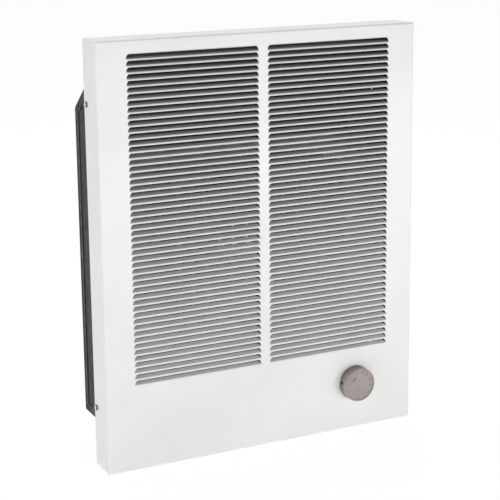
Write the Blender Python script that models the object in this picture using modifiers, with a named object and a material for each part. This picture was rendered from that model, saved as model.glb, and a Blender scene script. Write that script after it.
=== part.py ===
"""Recessed fan-forced wall heater: a louvred steel cover screwed over a can that sits in the wall.

Metres, +Z up. X runs to the right as seen from the room, Y runs into the wall, and Y = 0 is the
wall's face. The origin is the middle of the back face of the can's lower lip.
"""

import math

import bmesh
import bpy
from mathutils import Matrix, Vector

# Clearances between pieces
SEAT_GAP = 0.0003
BLADE_END_GAP = 0.0003

# How long a cutter is that goes through a sheet
THROUGH = 0.012

# Cover
COVER_WIDTH = 0.41275
COVER_HEIGHT = 0.508
COVER_DEPTH = 0.040
COVER_SHEET = 0.0012
COVER_BEND_RADIUS = 0.0025
COVER_SCREW_SPACING = 0.360
COVER_SCREW_SETBACK = 0.007

# Louvres pressed in the cover
LOUVRE_PITCH = 0.00747
LOUVRE_SLOT_HEIGHT = 0.00543
LOUVRE_SIDE_MARGIN = 0.0361
LOUVRE_TOP_MARGIN = 0.0163
LOUVRE_BOTTOM_MARGIN = 0.1053
LOUVRE_COLUMN_GAP = 0.0116
LOUVRE_CORNER = 0.004
LOUVRE_ANGLE = math.radians(57)
LOUVRE_BLADE_SHEET = 0.0008
LOUVRE_ROOT = 0.0007

# Can in the wall
CAN_WIDTH = 0.365
CAN_HEIGHT = 0.444
CAN_DEPTH = 0.100
CAN_REAR_HEIGHT = 0.383
CAN_ROOF_DEPTH = 0.022
CAN_SHEET = 0.0010
LIP_HEIGHT = 0.012
LIP_RETURN = 0.014
STUD_HOLE_RADIUS = 0.00275
STUD_HOLE_SETBACK = 0.018
STUD_HOLE_SPACING = 0.330
KNOCKOUT_RADIUS = 0.0111
KNOCKOUT_SLIT = 0.0008
KNOCKOUT_TAB = math.radians(40)
KNOCKOUT_INSET = 0.042

# Fan deck across the can, and the rails that carry it
DECK_FRONT = 0.028
DECK_SHEET = 0.0012
DECK_HEIGHT = 0.250
DECK_FLANGE = 0.014
RAIL_LEG = 0.013
RAIL_SHEET = 0.0012
RAIL_END_MARGIN = 0.010
DECK_SCREW_END = 0.024

# Fan
FAN_RADIUS = 0.089
FAN_TIP_GAP = 0.005
FAN_BLADES = 5
FAN_BLADE_ROOT = 0.024
FAN_SPIDER_RADIUS = 0.030
FAN_PITCH_ROOT = math.radians(36)
FAN_PITCH_TIP = math.radians(20)
FAN_BLADE_SPAN = math.radians(52)
FAN_ROOT_SHARE = 0.55
FAN_SHEET = 0.0012
FAN_CENTRE_DEPTH = 0.032
COLLAR_DEPTH = 0.012
COLLAR_SHEET = 0.0010
COLLAR_MOUTH = 0.004
COLLAR_ROOT = 0.0004
HUB_RADIUS = 0.0085
HUB_LENGTH = 0.014
SHAFT_RADIUS = 0.003
AXIS_ABOVE_CAN_FLOOR = 0.209

# Discharge duct and heating element
DUCT_SIDE_MARGIN = 0.022
DUCT_END_MARGIN = 0.007
DUCT_SHEET = 0.0009
DUCT_FLANGE = 0.011
DUCT_FRONT_GAP = 0.003
ELEMENT_RADIUS = 0.004
ELEMENT_BEND_RADIUS = 0.022
ELEMENT_PAIR_GAP = 0.050
ELEMENT_DEPTH = -0.008
ELEMENT_TAIL = 0.006
ELEMENT_BEND_STEPS = 8
ELEMENT_HOLE_GAP = 0.00045
FIN_WIDTH = 0.028
FIN_MARGIN = 0.017
FIN_SHEET = 0.0007
FIN_PITCH = 0.0175
TERMINAL_BUSH_LENGTH = 0.007
TERMINAL_STUD_RADIUS = 0.002
TERMINAL_STUD_LENGTH = 0.010

# Motor, hung behind the fan on a strap
STRAP_FRONT = 0.050
STRAP_SHEET = 0.0015
STRAP_WIDTH = 0.028
STRAP_FOOT = 0.015
STRAP_COLLAR_GAP = 0.002
STATOR_WIDTH = 0.072
STATOR_TOP = 0.028
STATOR_BOTTOM = 0.054
STATOR_LENGTH = 0.020
STATOR_LIMB = 0.012
STATOR_WINDOW_HEIGHT = 0.017
STATOR_WINDOW_WIDTH = 0.046
ROTOR_RADIUS = 0.016
ROTOR_GAP = 0.0005
COIL_BUILD = 0.010
BOBBIN_SHEET = 0.0012
BRACKET_HEIGHT = 0.010
BRACKET_BAR = 0.0035
BRACKET_WIDTH = 0.014
BRACKET_POST_RADIUS = 0.0056
BOLT_SPACING = 0.056
BOLT_RADIUS = 0.002
BOLT_HEAD_HEIGHT = 0.0024
BOLT_END = 0.001
NUT_WIDTH = 0.007
NUT_HEIGHT = 0.003
BEARING_RADIUS = 0.0055
BOSS_RADIUS = 0.008
SHAFT_FRONT_END = 0.003
SHAFT_REAR_END = 0.002

# Thermal limit switch on the duct's roof
LIMIT_RADIUS = 0.008
LIMIT_HEIGHT = 0.009
LIMIT_BASE_LENGTH = 0.034
LIMIT_BASE_WIDTH = 0.014
LIMIT_BASE_SHEET = 0.001
LIMIT_TAB_SHEET = 0.0008
LIMIT_TAB_WIDTH = 0.0063
LIMIT_TAB_HEIGHT = 0.008
LIMIT_TAB_ROOT = 0.001
LIMIT_SCREW_SPACING = 0.024
LIMIT_OFFSET = 0.060

# Thermostat and its knob, low on the right
KNOB_RIGHT = 0.125
KNOB_BASE_RADIUS = 0.0219
KNOB_TOP_RADIUS = 0.0214
KNOB_HEIGHT = 0.0125
KNOB_WALL = 0.002
KNOB_TOP_WALL = 0.0022
KNOB_CHAMFER = 0.0008
KNOB_BOSS_RADIUS = 0.0075
KNOB_BOSS_RECESS = 0.0024
KNOB_COVER_GAP = 0.0008
SPINDLE_RADIUS = 0.003175
SPINDLE_FLAT = 0.0008
COVER_KNOB_HOLE_RADIUS = 0.0085
THERMOSTAT_PLATE_SETBACK = 0.018
THERMOSTAT_SHEET = 0.0012
THERMOSTAT_WIDTH = 0.042
THERMOSTAT_HEIGHT = 0.036
THERMOSTAT_FLOOR_GAP = 0.0092
THERMOSTAT_DEPTH = 0.024
THERMOSTAT_CORNER = 0.0015
THERMOSTAT_BUSH_RADIUS = 0.00475
THERMOSTAT_BUSH_LENGTH = 0.009
THERMOSTAT_BRACKET_MARGIN = 0.006
THERMOSTAT_FOOT = 0.044
THERMOSTAT_FOOT_SCREW_END = 0.007
THERMOSTAT_NUT_WIDTH = 0.014
THERMOSTAT_NUT_HEIGHT = 0.0025
SPINDLE_END_GAP = 0.0006
GRUB_RADIUS = 0.0019
GRUB_SOCKET_RADIUS = 0.00114
GRUB_HEIGHT = 0.0048
GRUB_TURN = math.radians(10)

# Supply wiring compartment, low on the left
WIRING_WIDTH = 0.080
WIRING_HEIGHT = 0.062
WIRING_FRONT = 0.012
WIRING_SHEET = 0.0010
WIRING_FLANGE = 0.012
WIRING_FOOT_WIDTH = 0.024
GROUND_SCREW_INSET = 0.006
GROUND_SCREW_SETBACK = 0.020

# Screws
SCREW_HEAD_RADIUS = 0.00345
SCREW_HEAD_HEIGHT = 0.0021
SCREW_RADIUS = 0.0017
SCREW_LENGTH = 0.008
SHORT_SCREW_LENGTH = 0.0055
LIMIT_SCREW_LENGTH = 0.004
SCREW_HEAD_TOP_RADIUS = 0.0026
SCREW_HOLE_GAP = 0.0004

# How finely round shapes are divided
LARGE_ROUND = 32
MEDIUM_ROUND = 24
BUSH_ROUND = 16
SMALL_ROUND = 12
SCREW_ROUND = 8

# Levels and places that follow from the sizes above
CAN_FLOOR = LIP_HEIGHT / 2
CAN_CENTRE = CAN_FLOOR + CAN_HEIGHT / 2
COVER_FOOT = CAN_CENTRE - COVER_HEIGHT / 2
COVER_HALF = COVER_WIDTH / 2
CAN_HALF = CAN_WIDTH / 2
LIP_HALF = COVER_HALF - COVER_SHEET - SEAT_GAP
AXIS_HEIGHT = CAN_FLOOR + AXIS_ABOVE_CAN_FLOOR
ORIFICE_RADIUS = FAN_RADIUS + FAN_TIP_GAP
DUCT_WIDTH = 2 * (ORIFICE_RADIUS + DUCT_SIDE_MARGIN)
DUCT_HEIGHT = 2 * (ORIFICE_RADIUS + DUCT_END_MARGIN)
DECK_HALF = CAN_HALF - CAN_SHEET - SEAT_GAP
DUCT_BACK = DECK_FRONT - SEAT_GAP
DUCT_FRONT = -COVER_DEPTH + COVER_SHEET + LOUVRE_SLOT_HEIGHT * math.sin(LOUVRE_ANGLE) + DUCT_FRONT_GAP
BRACKET_FRONT = STRAP_FRONT + STRAP_SHEET + SEAT_GAP
STATOR_FRONT = BRACKET_FRONT + BRACKET_HEIGHT + SEAT_GAP
STATOR_BACK = STATOR_FRONT + STATOR_LENGTH
REAR_BRACKET_FRONT = STATOR_BACK + SEAT_GAP
STRAP_RISER = ORIFICE_RADIUS + COLLAR_MOUTH + COLLAR_SHEET + STRAP_COLLAR_GAP
KNOB_LEVEL = CAN_FLOOR + CAN_SHEET + THERMOSTAT_FLOOR_GAP + THERMOSTAT_HEIGHT / 2
THERMOSTAT_PLATE = -COVER_DEPTH + THERMOSTAT_PLATE_SETBACK
HUB_FRONT = FAN_CENTRE_DEPTH + FAN_SHEET / 2 + SEAT_GAP

# Turns that point a piece's own +Z along a world direction
TO_ROOM = (math.radians(90), 0, 0)
TO_WALL = (math.radians(-90), 0, 0)
TO_RIGHT = (0, math.radians(90), 0)
TO_LEFT = (0, math.radians(-90), 0)
TO_GRUB = (0, math.radians(-90) + GRUB_TURN, 0)
UPRIGHT = (0, 0, 0)

# Colour, roughness and metallic value of each finish
FINISHES = {
    "white enamel": ((0.84, 0.85, 0.84), 0.38, 0.0),
    "dark enamel": ((0.075, 0.068, 0.066), 0.55, 0.0),
    "galvanised steel": ((0.55, 0.56, 0.57), 0.42, 0.9),
    "zinc": ((0.72, 0.72, 0.70), 0.30, 1.0),
    "aluminium": ((0.80, 0.80, 0.81), 0.35, 1.0),
    "die cast zinc": ((0.52, 0.53, 0.54), 0.50, 0.9),
    "lamination steel": ((0.28, 0.28, 0.30), 0.55, 0.8),
    "steel shaft": ((0.62, 0.62, 0.63), 0.25, 1.0),
    "bronze": ((0.60, 0.42, 0.22), 0.40, 1.0),
    "element steel": ((0.22, 0.21, 0.20), 0.60, 0.7),
    "porcelain": ((0.88, 0.86, 0.80), 0.30, 0.0),
    "winding tape": ((0.42, 0.24, 0.08), 0.60, 0.0),
    "nylon": ((0.80, 0.78, 0.72), 0.50, 0.0),
    "phenolic": ((0.030, 0.028, 0.027), 0.45, 0.0),
    "taupe plastic": ((0.38, 0.335, 0.31), 0.50, 0.0),
    "black oxide": ((0.02, 0.02, 0.02), 0.45, 0.8),
    "green zinc": ((0.08, 0.32, 0.12), 0.40, 0.6),
}


def clear_scene():
    for old in list(bpy.data.objects):
        bpy.data.objects.remove(old, do_unlink=True)


def new_collection(name):
    collection = bpy.data.collections.new(name)
    bpy.context.scene.collection.children.link(collection)
    return collection


def make_material(finish):
    """A Principled BSDF with the finish's colour, roughness and metallic value."""
    colour, roughness, metallic = FINISHES[finish]
    material = bpy.data.materials.new(finish)
    material.use_nodes = True
    shader = material.node_tree.nodes["Principled BSDF"]
    shader.inputs["Base Color"].default_value = (*colour, 1)
    shader.inputs["Roughness"].default_value = roughness
    shader.inputs["Metallic"].default_value = metallic
    material.diffuse_color = (*colour, 1)
    return material


clear_scene()
PARTS = new_collection("recessed_wall_heater")
CUTTERS = new_collection("cutters")
MATERIALS = {finish: make_material(finish) for finish in FINISHES}


def add_part(name, mesh, finish, location=(0, 0, 0), rotation=UPRIGHT, parent=None):
    """Links a sub-part. Its location is a world position, also under a parent that only moves it."""
    part = bpy.data.objects.new(name, mesh)
    PARTS.objects.link(part)
    place(part, location, rotation, parent)
    mesh.materials.clear()
    mesh.materials.append(MATERIALS[finish])
    return part


def add_cutter(name, mesh, location=(0, 0, 0), rotation=UPRIGHT):
    """Links a helper solid that cuts or joins another and isn't a piece itself."""
    cutter = bpy.data.objects.new(name, mesh)
    CUTTERS.objects.link(cutter)
    place(cutter, location, rotation, None)
    cutter.hide_render = True
    cutter.display_type = "WIRE"
    return cutter


def place(thing, location, rotation, parent):
    thing.location = Vector(location) - (parent.location if parent else Vector())
    thing.rotation_euler = rotation
    thing.parent = parent


def combine(target, other, operation):
    modifier = target.modifiers.new(f"{operation.lower()} {other.name}", "BOOLEAN")
    modifier.operation = operation
    modifier.object = other
    modifier.solver = "EXACT"


def cut(target, cutter):
    combine(target, cutter, "DIFFERENCE")


def join(target, other):
    combine(target, other, "UNION")


def thicken(part, thickness, offset=-1):
    """Turns an open surface into a sheet of even thickness, on its inner side at offset -1."""
    modifier = part.modifiers.new("sheet", "SOLIDIFY")
    modifier.solidify_mode = "NON_MANIFOLD"
    modifier.nonmanifold_thickness_mode = "CONSTRAINTS"
    modifier.thickness = thickness
    modifier.offset = offset


def round_edges(part, width, segments=2, limit="ANGLE"):
    modifier = part.modifiers.new("rounded edges", "BEVEL")
    modifier.width = width
    modifier.segments = segments
    modifier.limit_method = limit


def smooth(mesh, degrees=46):
    mesh.shade_smooth()
    mesh.set_sharp_from_angle(angle=math.radians(degrees))


def to_mesh(name, shape):
    mesh = bpy.data.meshes.new(name)
    shape.to_mesh(mesh)
    shape.free()
    return mesh


def box_mesh(name, size, centre=(0, 0, 0)):
    shape = bmesh.new()
    fit = Matrix.Translation(centre) @ Matrix.Diagonal((*size, 1))
    bmesh.ops.create_cube(shape, size=1, matrix=fit)
    return to_mesh(name, shape)


def boxes_mesh(name, size, centres):
    """Separate boxes of one size in one mesh."""
    shape = bmesh.new()
    for centre in centres:
        fit = Matrix.Translation(centre) @ Matrix.Diagonal((*size, 1))
        bmesh.ops.create_cube(shape, size=1, matrix=fit)
    return to_mesh(name, shape)


def rods_mesh(name, radius, length, centres, segments, turn=UPRIGHT):
    """Separate cylinders in one mesh, each centred on its point, with its axis turned from Z."""
    shape = bmesh.new()
    rotation = Matrix.Rotation(turn[0], 4, "X") @ Matrix.Rotation(turn[1], 4, "Y")
    for centre in centres:
        bmesh.ops.create_cone(
            shape,
            cap_ends=True,
            segments=segments,
            radius1=radius,
            radius2=radius,
            depth=length,
            matrix=Matrix.Translation(centre) @ rotation,
        )
    mesh = to_mesh(name, shape)
    smooth(mesh)
    return mesh


def profile_mesh(name, profile, closed):
    """Edges through (radius, height) points, for a Screw modifier to turn round Z."""
    shape = bmesh.new()
    points = [shape.verts.new((radius, 0, height)) for radius, height in profile]
    for first, second in zip(points, points[1:]):
        shape.edges.new((first, second))
    if closed:
        shape.edges.new((points[-1], points[0]))
    return to_mesh(name, shape)


def turn_profile(thing, steps):
    modifier = thing.modifiers.new("turned", "SCREW")
    modifier.steps = steps
    modifier.render_steps = steps
    modifier.use_merge_vertices = True
    modifier.merge_threshold = 0.00001
    modifier.use_smooth_shade = True


def add_turned(name, profile, finish, steps, location, rotation, parent=None, closed=False):
    """A turned piece. Its profile runs down the outer side, and closes on itself round a bore."""
    part = add_part(name, profile_mesh(name, profile, closed), finish, location, rotation, parent)
    turn_profile(part, steps)
    return part


def ring_profile(outer, inner, bottom, top):
    return [(inner, top), (outer, top), (outer, bottom), (inner, bottom)]


def circle_points(radius, count, centre=(0, 0)):
    angles = [2 * math.pi * step / count for step in range(count)]
    return [(centre[0] + radius * math.cos(a), centre[1] + radius * math.sin(a)) for a in angles]


def rectangle_points(width, height, centre=(0, 0)):
    half_x, half_y = width / 2, height / 2
    corners = [(-half_x, -half_y), (half_x, -half_y), (half_x, half_y), (-half_x, half_y)]
    return [(centre[0] + x, centre[1] + y) for x, y in corners]


def stadium_points(length, width, steps=6):
    """A bar along X with half-round ends."""
    points = []
    for side in (1, -1):
        for step in range(steps + 1):
            angle = math.pi * (step / steps - 0.5)
            x = length / 2 - width / 2 + width / 2 * math.cos(angle)
            points.append((side * x, side * width / 2 * math.sin(angle)))
    return points


def plate_mesh(name, outlines, thickness):
    """A flat plate of the given thickness round z = 0, whose inner outlines are holes."""
    curve = bpy.data.curves.new(name, "CURVE")
    curve.dimensions = "2D"
    curve.fill_mode = "BOTH"
    curve.extrude = thickness / 2
    for outline in outlines:
        spline = curve.splines.new("POLY")
        spline.points.add(len(outline) - 1)
        for point, (x, y) in zip(spline.points, outline):
            point.co = (x, y, 0, 1)
        spline.use_cyclic_u = True
    return curve_to_mesh(name, curve)


def tube_mesh(name, route, radius):
    """A round bar along the route, with closed ends."""
    curve = bpy.data.curves.new(name, "CURVE")
    curve.dimensions = "3D"
    curve.bevel_depth = radius
    curve.bevel_resolution = 1
    curve.use_fill_caps = True
    spline = curve.splines.new("POLY")
    spline.points.add(len(route) - 1)
    for point, position in zip(spline.points, route):
        point.co = (*position, 1)
    mesh = curve_to_mesh(name, curve)
    smooth(mesh)
    return mesh


def curve_to_mesh(name, curve):
    """The curve's evaluated mesh with its loose caps welded on."""
    guide = bpy.data.objects.new(name, curve)
    CUTTERS.objects.link(guide)
    graph = bpy.context.evaluated_depsgraph_get()
    mesh = bpy.data.meshes.new_from_object(guide.evaluated_get(graph))
    bpy.data.objects.remove(guide, do_unlink=True)
    bpy.data.curves.remove(curve)
    shape = bmesh.new()
    shape.from_mesh(mesh)
    bmesh.ops.remove_doubles(shape, verts=shape.verts, dist=0.000002)
    shape.to_mesh(mesh)
    shape.free()
    mesh.name = name
    return mesh


def add_screw(name, position, direction, finish="zinc", length=SCREW_LENGTH, parent=None):
    """A pan-head screw whose head sits a seat gap off the given point."""
    profile = [
        (0, SCREW_HEAD_HEIGHT),
        (SCREW_HEAD_TOP_RADIUS, SCREW_HEAD_HEIGHT),
        (SCREW_HEAD_RADIUS, 0),
        (SCREW_RADIUS, 0),
        (SCREW_RADIUS, -length),
        (0, -length),
    ]
    lift = direction_of(direction) * SEAT_GAP
    return add_turned(name, profile, finish, SCREW_ROUND, Vector(position) + lift, direction, parent)


def direction_of(rotation):
    """The world direction that a piece's own +Z takes."""
    turned = Matrix.Rotation(rotation[1], 3, "Y") @ Matrix.Rotation(rotation[0], 3, "X")
    return turned @ Vector((0, 0, 1))


def cut_screw_holes(target, name, positions, direction):
    """Clearance holes for screws whose heads stand at these points."""
    radius = SCREW_RADIUS + SCREW_HOLE_GAP
    holes = rods_mesh(name, radius, THROUGH, positions, SCREW_ROUND, direction)
    cut(target, add_cutter(name, holes))


def mirrored(value):
    return (-value, value)


def louvre_rows():
    """Heights of the slots' lower edges, from the top down."""
    field = COVER_HEIGHT - LOUVRE_TOP_MARGIN - LOUVRE_BOTTOM_MARGIN
    count = 1 + int((field - LOUVRE_SLOT_HEIGHT) / LOUVRE_PITCH + 0.001)
    top_slot = COVER_FOOT + COVER_HEIGHT - LOUVRE_TOP_MARGIN - LOUVRE_SLOT_HEIGHT
    return [top_slot - row * LOUVRE_PITCH for row in range(count)]


def louvre_columns():
    """Centre and half width of each column of slots."""
    half = (COVER_WIDTH - 2 * LOUVRE_SIDE_MARGIN - LOUVRE_COLUMN_GAP) / 4
    return [(side * (half + LOUVRE_COLUMN_GAP / 2), half) for side in (-1, 1)]


def louvre_half_width(half, rise):
    """Half width of a slot at a height above its lower edge: its ends lean in along an ellipse."""
    share = min(rise / LOUVRE_SLOT_HEIGHT, 1)
    return half - LOUVRE_CORNER * (1 - math.sqrt(1 - share**2))


def slot_outline(centre, half, foot):
    """A louvre slot: a straight lower edge, and ends that lean in towards the top."""
    rises = [LOUVRE_SLOT_HEIGHT * level for level in (0, 0.75, 1)]
    right = [(centre + louvre_half_width(half, rise), foot + rise) for rise in rises]
    left = [(centre - louvre_half_width(half, rise), foot + rise) for rise in reversed(rises)]
    return right + left


def blade_section():
    """(way up the slot, setback, rise) of a blade's middle line, from its root in the land to its tip."""
    tip = LOUVRE_SLOT_HEIGHT
    return [
        (0, 0, -LOUVRE_ROOT),
        (0, 0, 0),
        (tip, tip * math.sin(LOUVRE_ANGLE), tip * math.cos(LOUVRE_ANGLE)),
    ]


def louvre_blades_mesh():
    """Every blade as an open strip, bent back and up from its slot's lower edge."""
    shape = bmesh.new()
    sheet_middle = -COVER_DEPTH + COVER_SHEET / 2
    for centre, half in louvre_columns():
        for foot in louvre_rows():
            rows = []
            for way, back, rise in blade_section():
                reach = louvre_half_width(half, way) - BLADE_END_GAP
                ends = [(centre + side * reach, sheet_middle + back, foot + rise) for side in (-1, 1)]
                rows.append([shape.verts.new(end) for end in ends])
            for lower, upper in zip(rows, rows[1:]):
                shape.faces.new((lower[0], lower[1], upper[1], upper[0]))
    return to_mesh("louvre_blades", shape)


def build_cover():
    """The folded steel cover: a shallow box open to the wall, with two columns of louvres."""
    shape = bmesh.new()
    size = Matrix.Diagonal((COVER_WIDTH, COVER_DEPTH, COVER_HEIGHT, 1))
    centre = Matrix.Translation((0, -COVER_DEPTH / 2, CAN_CENTRE))
    bmesh.ops.create_cube(shape, size=1, matrix=centre @ size)
    back = [face for face in shape.faces if face.normal.y > 0.5]
    bmesh.ops.delete(shape, geom=back, context="FACES_ONLY")
    bevel = shape.edges.layers.float.new("bevel_weight_edge")
    for edge in shape.edges:
        edge[bevel] = 1 if all(vert.co.y < -COVER_DEPTH / 2 for vert in edge.verts) else 0
    cover = add_part("cover", to_mesh("cover", shape), "white enamel")
    round_edges(cover, COVER_BEND_RADIUS, 3, "WEIGHT")
    thicken(cover, COVER_SHEET)

    rows = louvre_rows()
    slots = [slot_outline(centre, half, foot) for centre, half in louvre_columns() for foot in rows]
    slot_mesh = plate_mesh("louvre_slots", slots, THROUGH)
    front_middle = -COVER_DEPTH + COVER_SHEET / 2
    cut(cover, add_cutter("louvre_slots", slot_mesh, (0, front_middle, 0), TO_ROOM))

    centre = (KNOB_RIGHT, front_middle, KNOB_LEVEL)
    knob_hole = rods_mesh("knob_hole", COVER_KNOB_HOLE_RADIUS, THROUGH, [centre], MEDIUM_ROUND, TO_ROOM)
    cut(cover, add_cutter("knob_hole", knob_hole))
    cut_screw_holes(cover, "cover_screw_holes", cover_screw_points(), TO_RIGHT)

    blades = add_cutter("louvre_blades", louvre_blades_mesh())
    thicken(blades, LOUVRE_BLADE_SHEET, 0)
    join(cover, blades)
    return cover


def cover_screw_points():
    heights = [CAN_CENTRE + shift for shift in mirrored(COVER_SCREW_SPACING / 2)]
    return [(side, -COVER_SCREW_SETBACK, height) for side in mirrored(COVER_HALF) for height in heights]


def build_cover_screws():
    for number, point in enumerate(cover_screw_points(), 1):
        direction = TO_LEFT if point[0] < 0 else TO_RIGHT
        add_screw(f"cover_screw_{number}", point, direction)


def can_shell():
    """The can's outer surface: an open-fronted box with a sloping rear top, and lips round its mouth."""
    shape = bmesh.new()
    side = [
        (0, 0),
        (CAN_DEPTH, 0),
        (CAN_DEPTH, CAN_REAR_HEIGHT),
        (CAN_ROOF_DEPTH, CAN_HEIGHT),
        (0, CAN_HEIGHT),
    ]
    verts = [shape.verts.new((-CAN_HALF, y, CAN_FLOOR + z)) for y, z in side]
    wall = shape.faces.new(verts)
    swept = bmesh.ops.extrude_face_region(shape, geom=[wall])["geom"]
    moved = [item for item in swept if isinstance(item, bmesh.types.BMVert)]
    bmesh.ops.translate(shape, verts=moved, vec=(CAN_WIDTH, 0, 0))
    bmesh.ops.recalc_face_normals(shape, faces=shape.faces)
    front = [face for face in shape.faces if face.normal.y < -0.5]
    bmesh.ops.delete(shape, geom=front, context="FACES_ONLY")
    add_lips(shape)
    return to_mesh("wall_can", shape)


def add_lips(shape):
    """Turns the mouth's edges outward along the wall, and the side lips' outer edges forward."""
    mouth = [edge for edge in shape.edges if edge.is_boundary]
    lips = bmesh.ops.extrude_edge_only(shape, edges=mouth)["geom"]
    for vert in [item for item in lips if isinstance(item, bmesh.types.BMVert)]:
        vert.co.x = math.copysign(LIP_HALF, vert.co.x)
        vert.co.z += math.copysign(LIP_HEIGHT, vert.co.z - CAN_CENTRE)
    outer = [edge for edge in shape.edges if edge.is_boundary and at_lip_side(edge)]
    returns = bmesh.ops.extrude_edge_only(shape, edges=outer)["geom"]
    tips = [item for item in returns if isinstance(item, bmesh.types.BMVert)]
    bmesh.ops.translate(shape, verts=tips, vec=(0, -LIP_RETURN, 0))


def at_lip_side(edge):
    ends = [vert.co.x for vert in edge.verts]
    return all(abs(abs(x) - LIP_HALF) < 1e-6 for x in ends) and ends[0] * ends[1] > 0


def knockout_slit(centre):
    """The slit round a knockout, left open where a tab holds the disc."""
    sweep = 2 * math.pi - KNOCKOUT_TAB
    angles = [KNOCKOUT_TAB / 2 + sweep * step / SMALL_ROUND for step in range(SMALL_ROUND + 1)]
    outer_radius = KNOCKOUT_RADIUS + KNOCKOUT_SLIT
    rim = [(centre[0], centre[1], outer_radius, angle) for angle in angles]
    rim += [(centre[0], centre[1], KNOCKOUT_RADIUS, angle) for angle in reversed(angles)]
    return [(x + radius * math.cos(angle), y + radius * math.sin(angle)) for x, y, radius, angle in rim]


def cut_knockouts(can):
    """Two knockouts in the floor and one in the rear wall, all at the wiring compartment."""
    first = -CAN_HALF + KNOCKOUT_INSET / 2
    floor_slits = [knockout_slit((first + step * KNOCKOUT_INSET, 0)) for step in (0, 1)]
    floor_mesh = plate_mesh("floor_knockouts", floor_slits, THROUGH)
    floor_depth = CAN_DEPTH / 2
    cut(can, add_cutter("floor_knockouts", floor_mesh, (0, floor_depth, CAN_FLOOR)))
    rear_slit = [knockout_slit((first + KNOCKOUT_INSET / 2, CAN_FLOOR + KNOCKOUT_INSET))]
    rear_mesh = plate_mesh("rear_knockout", rear_slit, THROUGH)
    cut(can, add_cutter("rear_knockout", rear_mesh, (0, CAN_DEPTH, 0), TO_ROOM))


def build_can():
    can = add_part("wall_can", can_shell(), "dark enamel")
    thicken(can, CAN_SHEET)
    heights = [CAN_CENTRE + shift for shift in mirrored(STUD_HOLE_SPACING / 2)]
    stud_points = [(side, STUD_HOLE_SETBACK, z) for side in mirrored(CAN_HALF) for z in heights]
    stud_holes = rods_mesh("stud_holes", STUD_HOLE_RADIUS, THROUGH, stud_points, SMALL_ROUND, TO_RIGHT)
    cut(can, add_cutter("stud_holes", stud_holes))
    lip_points = [(math.copysign(LIP_HALF, x), y, z) for x, y, z in cover_screw_points()]
    cut_screw_holes(can, "lip_screw_holes", lip_points, TO_RIGHT)
    feet = thermostat_foot_points() + [wiring_screw_point(), ground_screw_point()]
    floor_points = [(x, y, CAN_FLOOR) for x, y, z in feet]
    cut_screw_holes(can, "floor_screw_holes", floor_points, UPRIGHT)
    cut_knockouts(can)


def rail_rear():
    return DECK_FRONT + DECK_SHEET + SEAT_GAP


def deck_screw_points():
    across = DECK_HALF - RAIL_SHEET - (RAIL_LEG - RAIL_SHEET) / 2
    heights = [AXIS_HEIGHT + shift for shift in mirrored(DECK_HEIGHT / 2 - DECK_SCREW_END)]
    return [(x, DECK_FRONT, z) for x in mirrored(across) for z in heights]


def build_deck_rails():
    """Angles on the can's side walls, each with a leg behind the deck for its screws."""
    length = DECK_HEIGHT - 2 * RAIL_END_MARGIN
    for name, side in (("deck_rail_left", -1), ("deck_rail_right", 1)):
        section = [
            (0, 0),
            (-side * RAIL_LEG, 0),
            (-side * RAIL_LEG, RAIL_SHEET),
            (-side * RAIL_SHEET, RAIL_SHEET),
            (-side * RAIL_SHEET, RAIL_LEG),
            (0, RAIL_LEG),
        ]
        mesh = plate_mesh(name, [section], length)
        rail = add_part(name, mesh, "galvanised steel", (side * DECK_HALF, rail_rear(), AXIS_HEIGHT))
        points = [point for point in deck_screw_points() if point[0] * side > 0]
        cut_screw_holes(rail, f"{name}_holes", points, TO_ROOM)


def build_fan_deck():
    """The pressed plate that parts the can's intake from its outlet, with the fan's flared orifice."""
    shape = bmesh.new()
    outline = [
        (DECK_FLANGE, -DECK_HEIGHT / 2),
        (0, -DECK_HEIGHT / 2),
        (0, DECK_HEIGHT / 2),
        (DECK_FLANGE, DECK_HEIGHT / 2),
    ]
    left = [shape.verts.new((-DECK_HALF, DECK_FRONT + y, AXIS_HEIGHT + z)) for y, z in outline]
    edges = [shape.edges.new(pair) for pair in zip(left, left[1:])]
    swept = bmesh.ops.extrude_edge_only(shape, edges=edges)["geom"]
    moved = [item for item in swept if isinstance(item, bmesh.types.BMVert)]
    bmesh.ops.translate(shape, verts=moved, vec=(2 * DECK_HALF, 0, 0))
    bmesh.ops.recalc_face_normals(shape, faces=shape.faces)
    front = max(shape.faces, key=lambda face: face.calc_area())
    if front.normal.y > 0:
        bmesh.ops.reverse_faces(shape, faces=shape.faces)
    deck = add_part("fan_deck", to_mesh("fan_deck", shape), "galvanised steel")
    thicken(deck, DECK_SHEET)

    wall_middle = ORIFICE_RADIUS + COLLAR_SHEET / 2
    centre = (0, DECK_FRONT, AXIS_HEIGHT)
    hole = rods_mesh("orifice", wall_middle, THROUGH, [centre], LARGE_ROUND, TO_ROOM)
    cut(deck, add_cutter("orifice", hole))
    collar_mesh = profile_mesh("orifice_collar", collar_profile(), True)
    collar = add_cutter("orifice_collar", collar_mesh, centre, TO_WALL)
    turn_profile(collar, LARGE_ROUND)
    join(deck, collar)
    cut_screw_holes(deck, "deck_screw_holes", deck_screw_points(), TO_ROOM)
    cut_screw_holes(deck, "strap_holes_in_deck", strap_screw_points(), TO_ROOM)
    cut_screw_holes(deck, "duct_holes_in_deck", duct_screw_points(), TO_ROOM)


def collar_profile():
    """The collar's wall, turned back from the deck and widening to its rear mouth."""
    mouth = ORIFICE_RADIUS + COLLAR_MOUTH
    return [
        (mouth, COLLAR_DEPTH),
        (mouth + COLLAR_SHEET, COLLAR_DEPTH),
        (ORIFICE_RADIUS + COLLAR_SHEET, COLLAR_ROOT),
        (ORIFICE_RADIUS, COLLAR_ROOT),
    ]


def build_deck_screws():
    for number, point in enumerate(deck_screw_points(), 1):
        add_screw(f"deck_screw_{number}", point, TO_ROOM)


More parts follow.
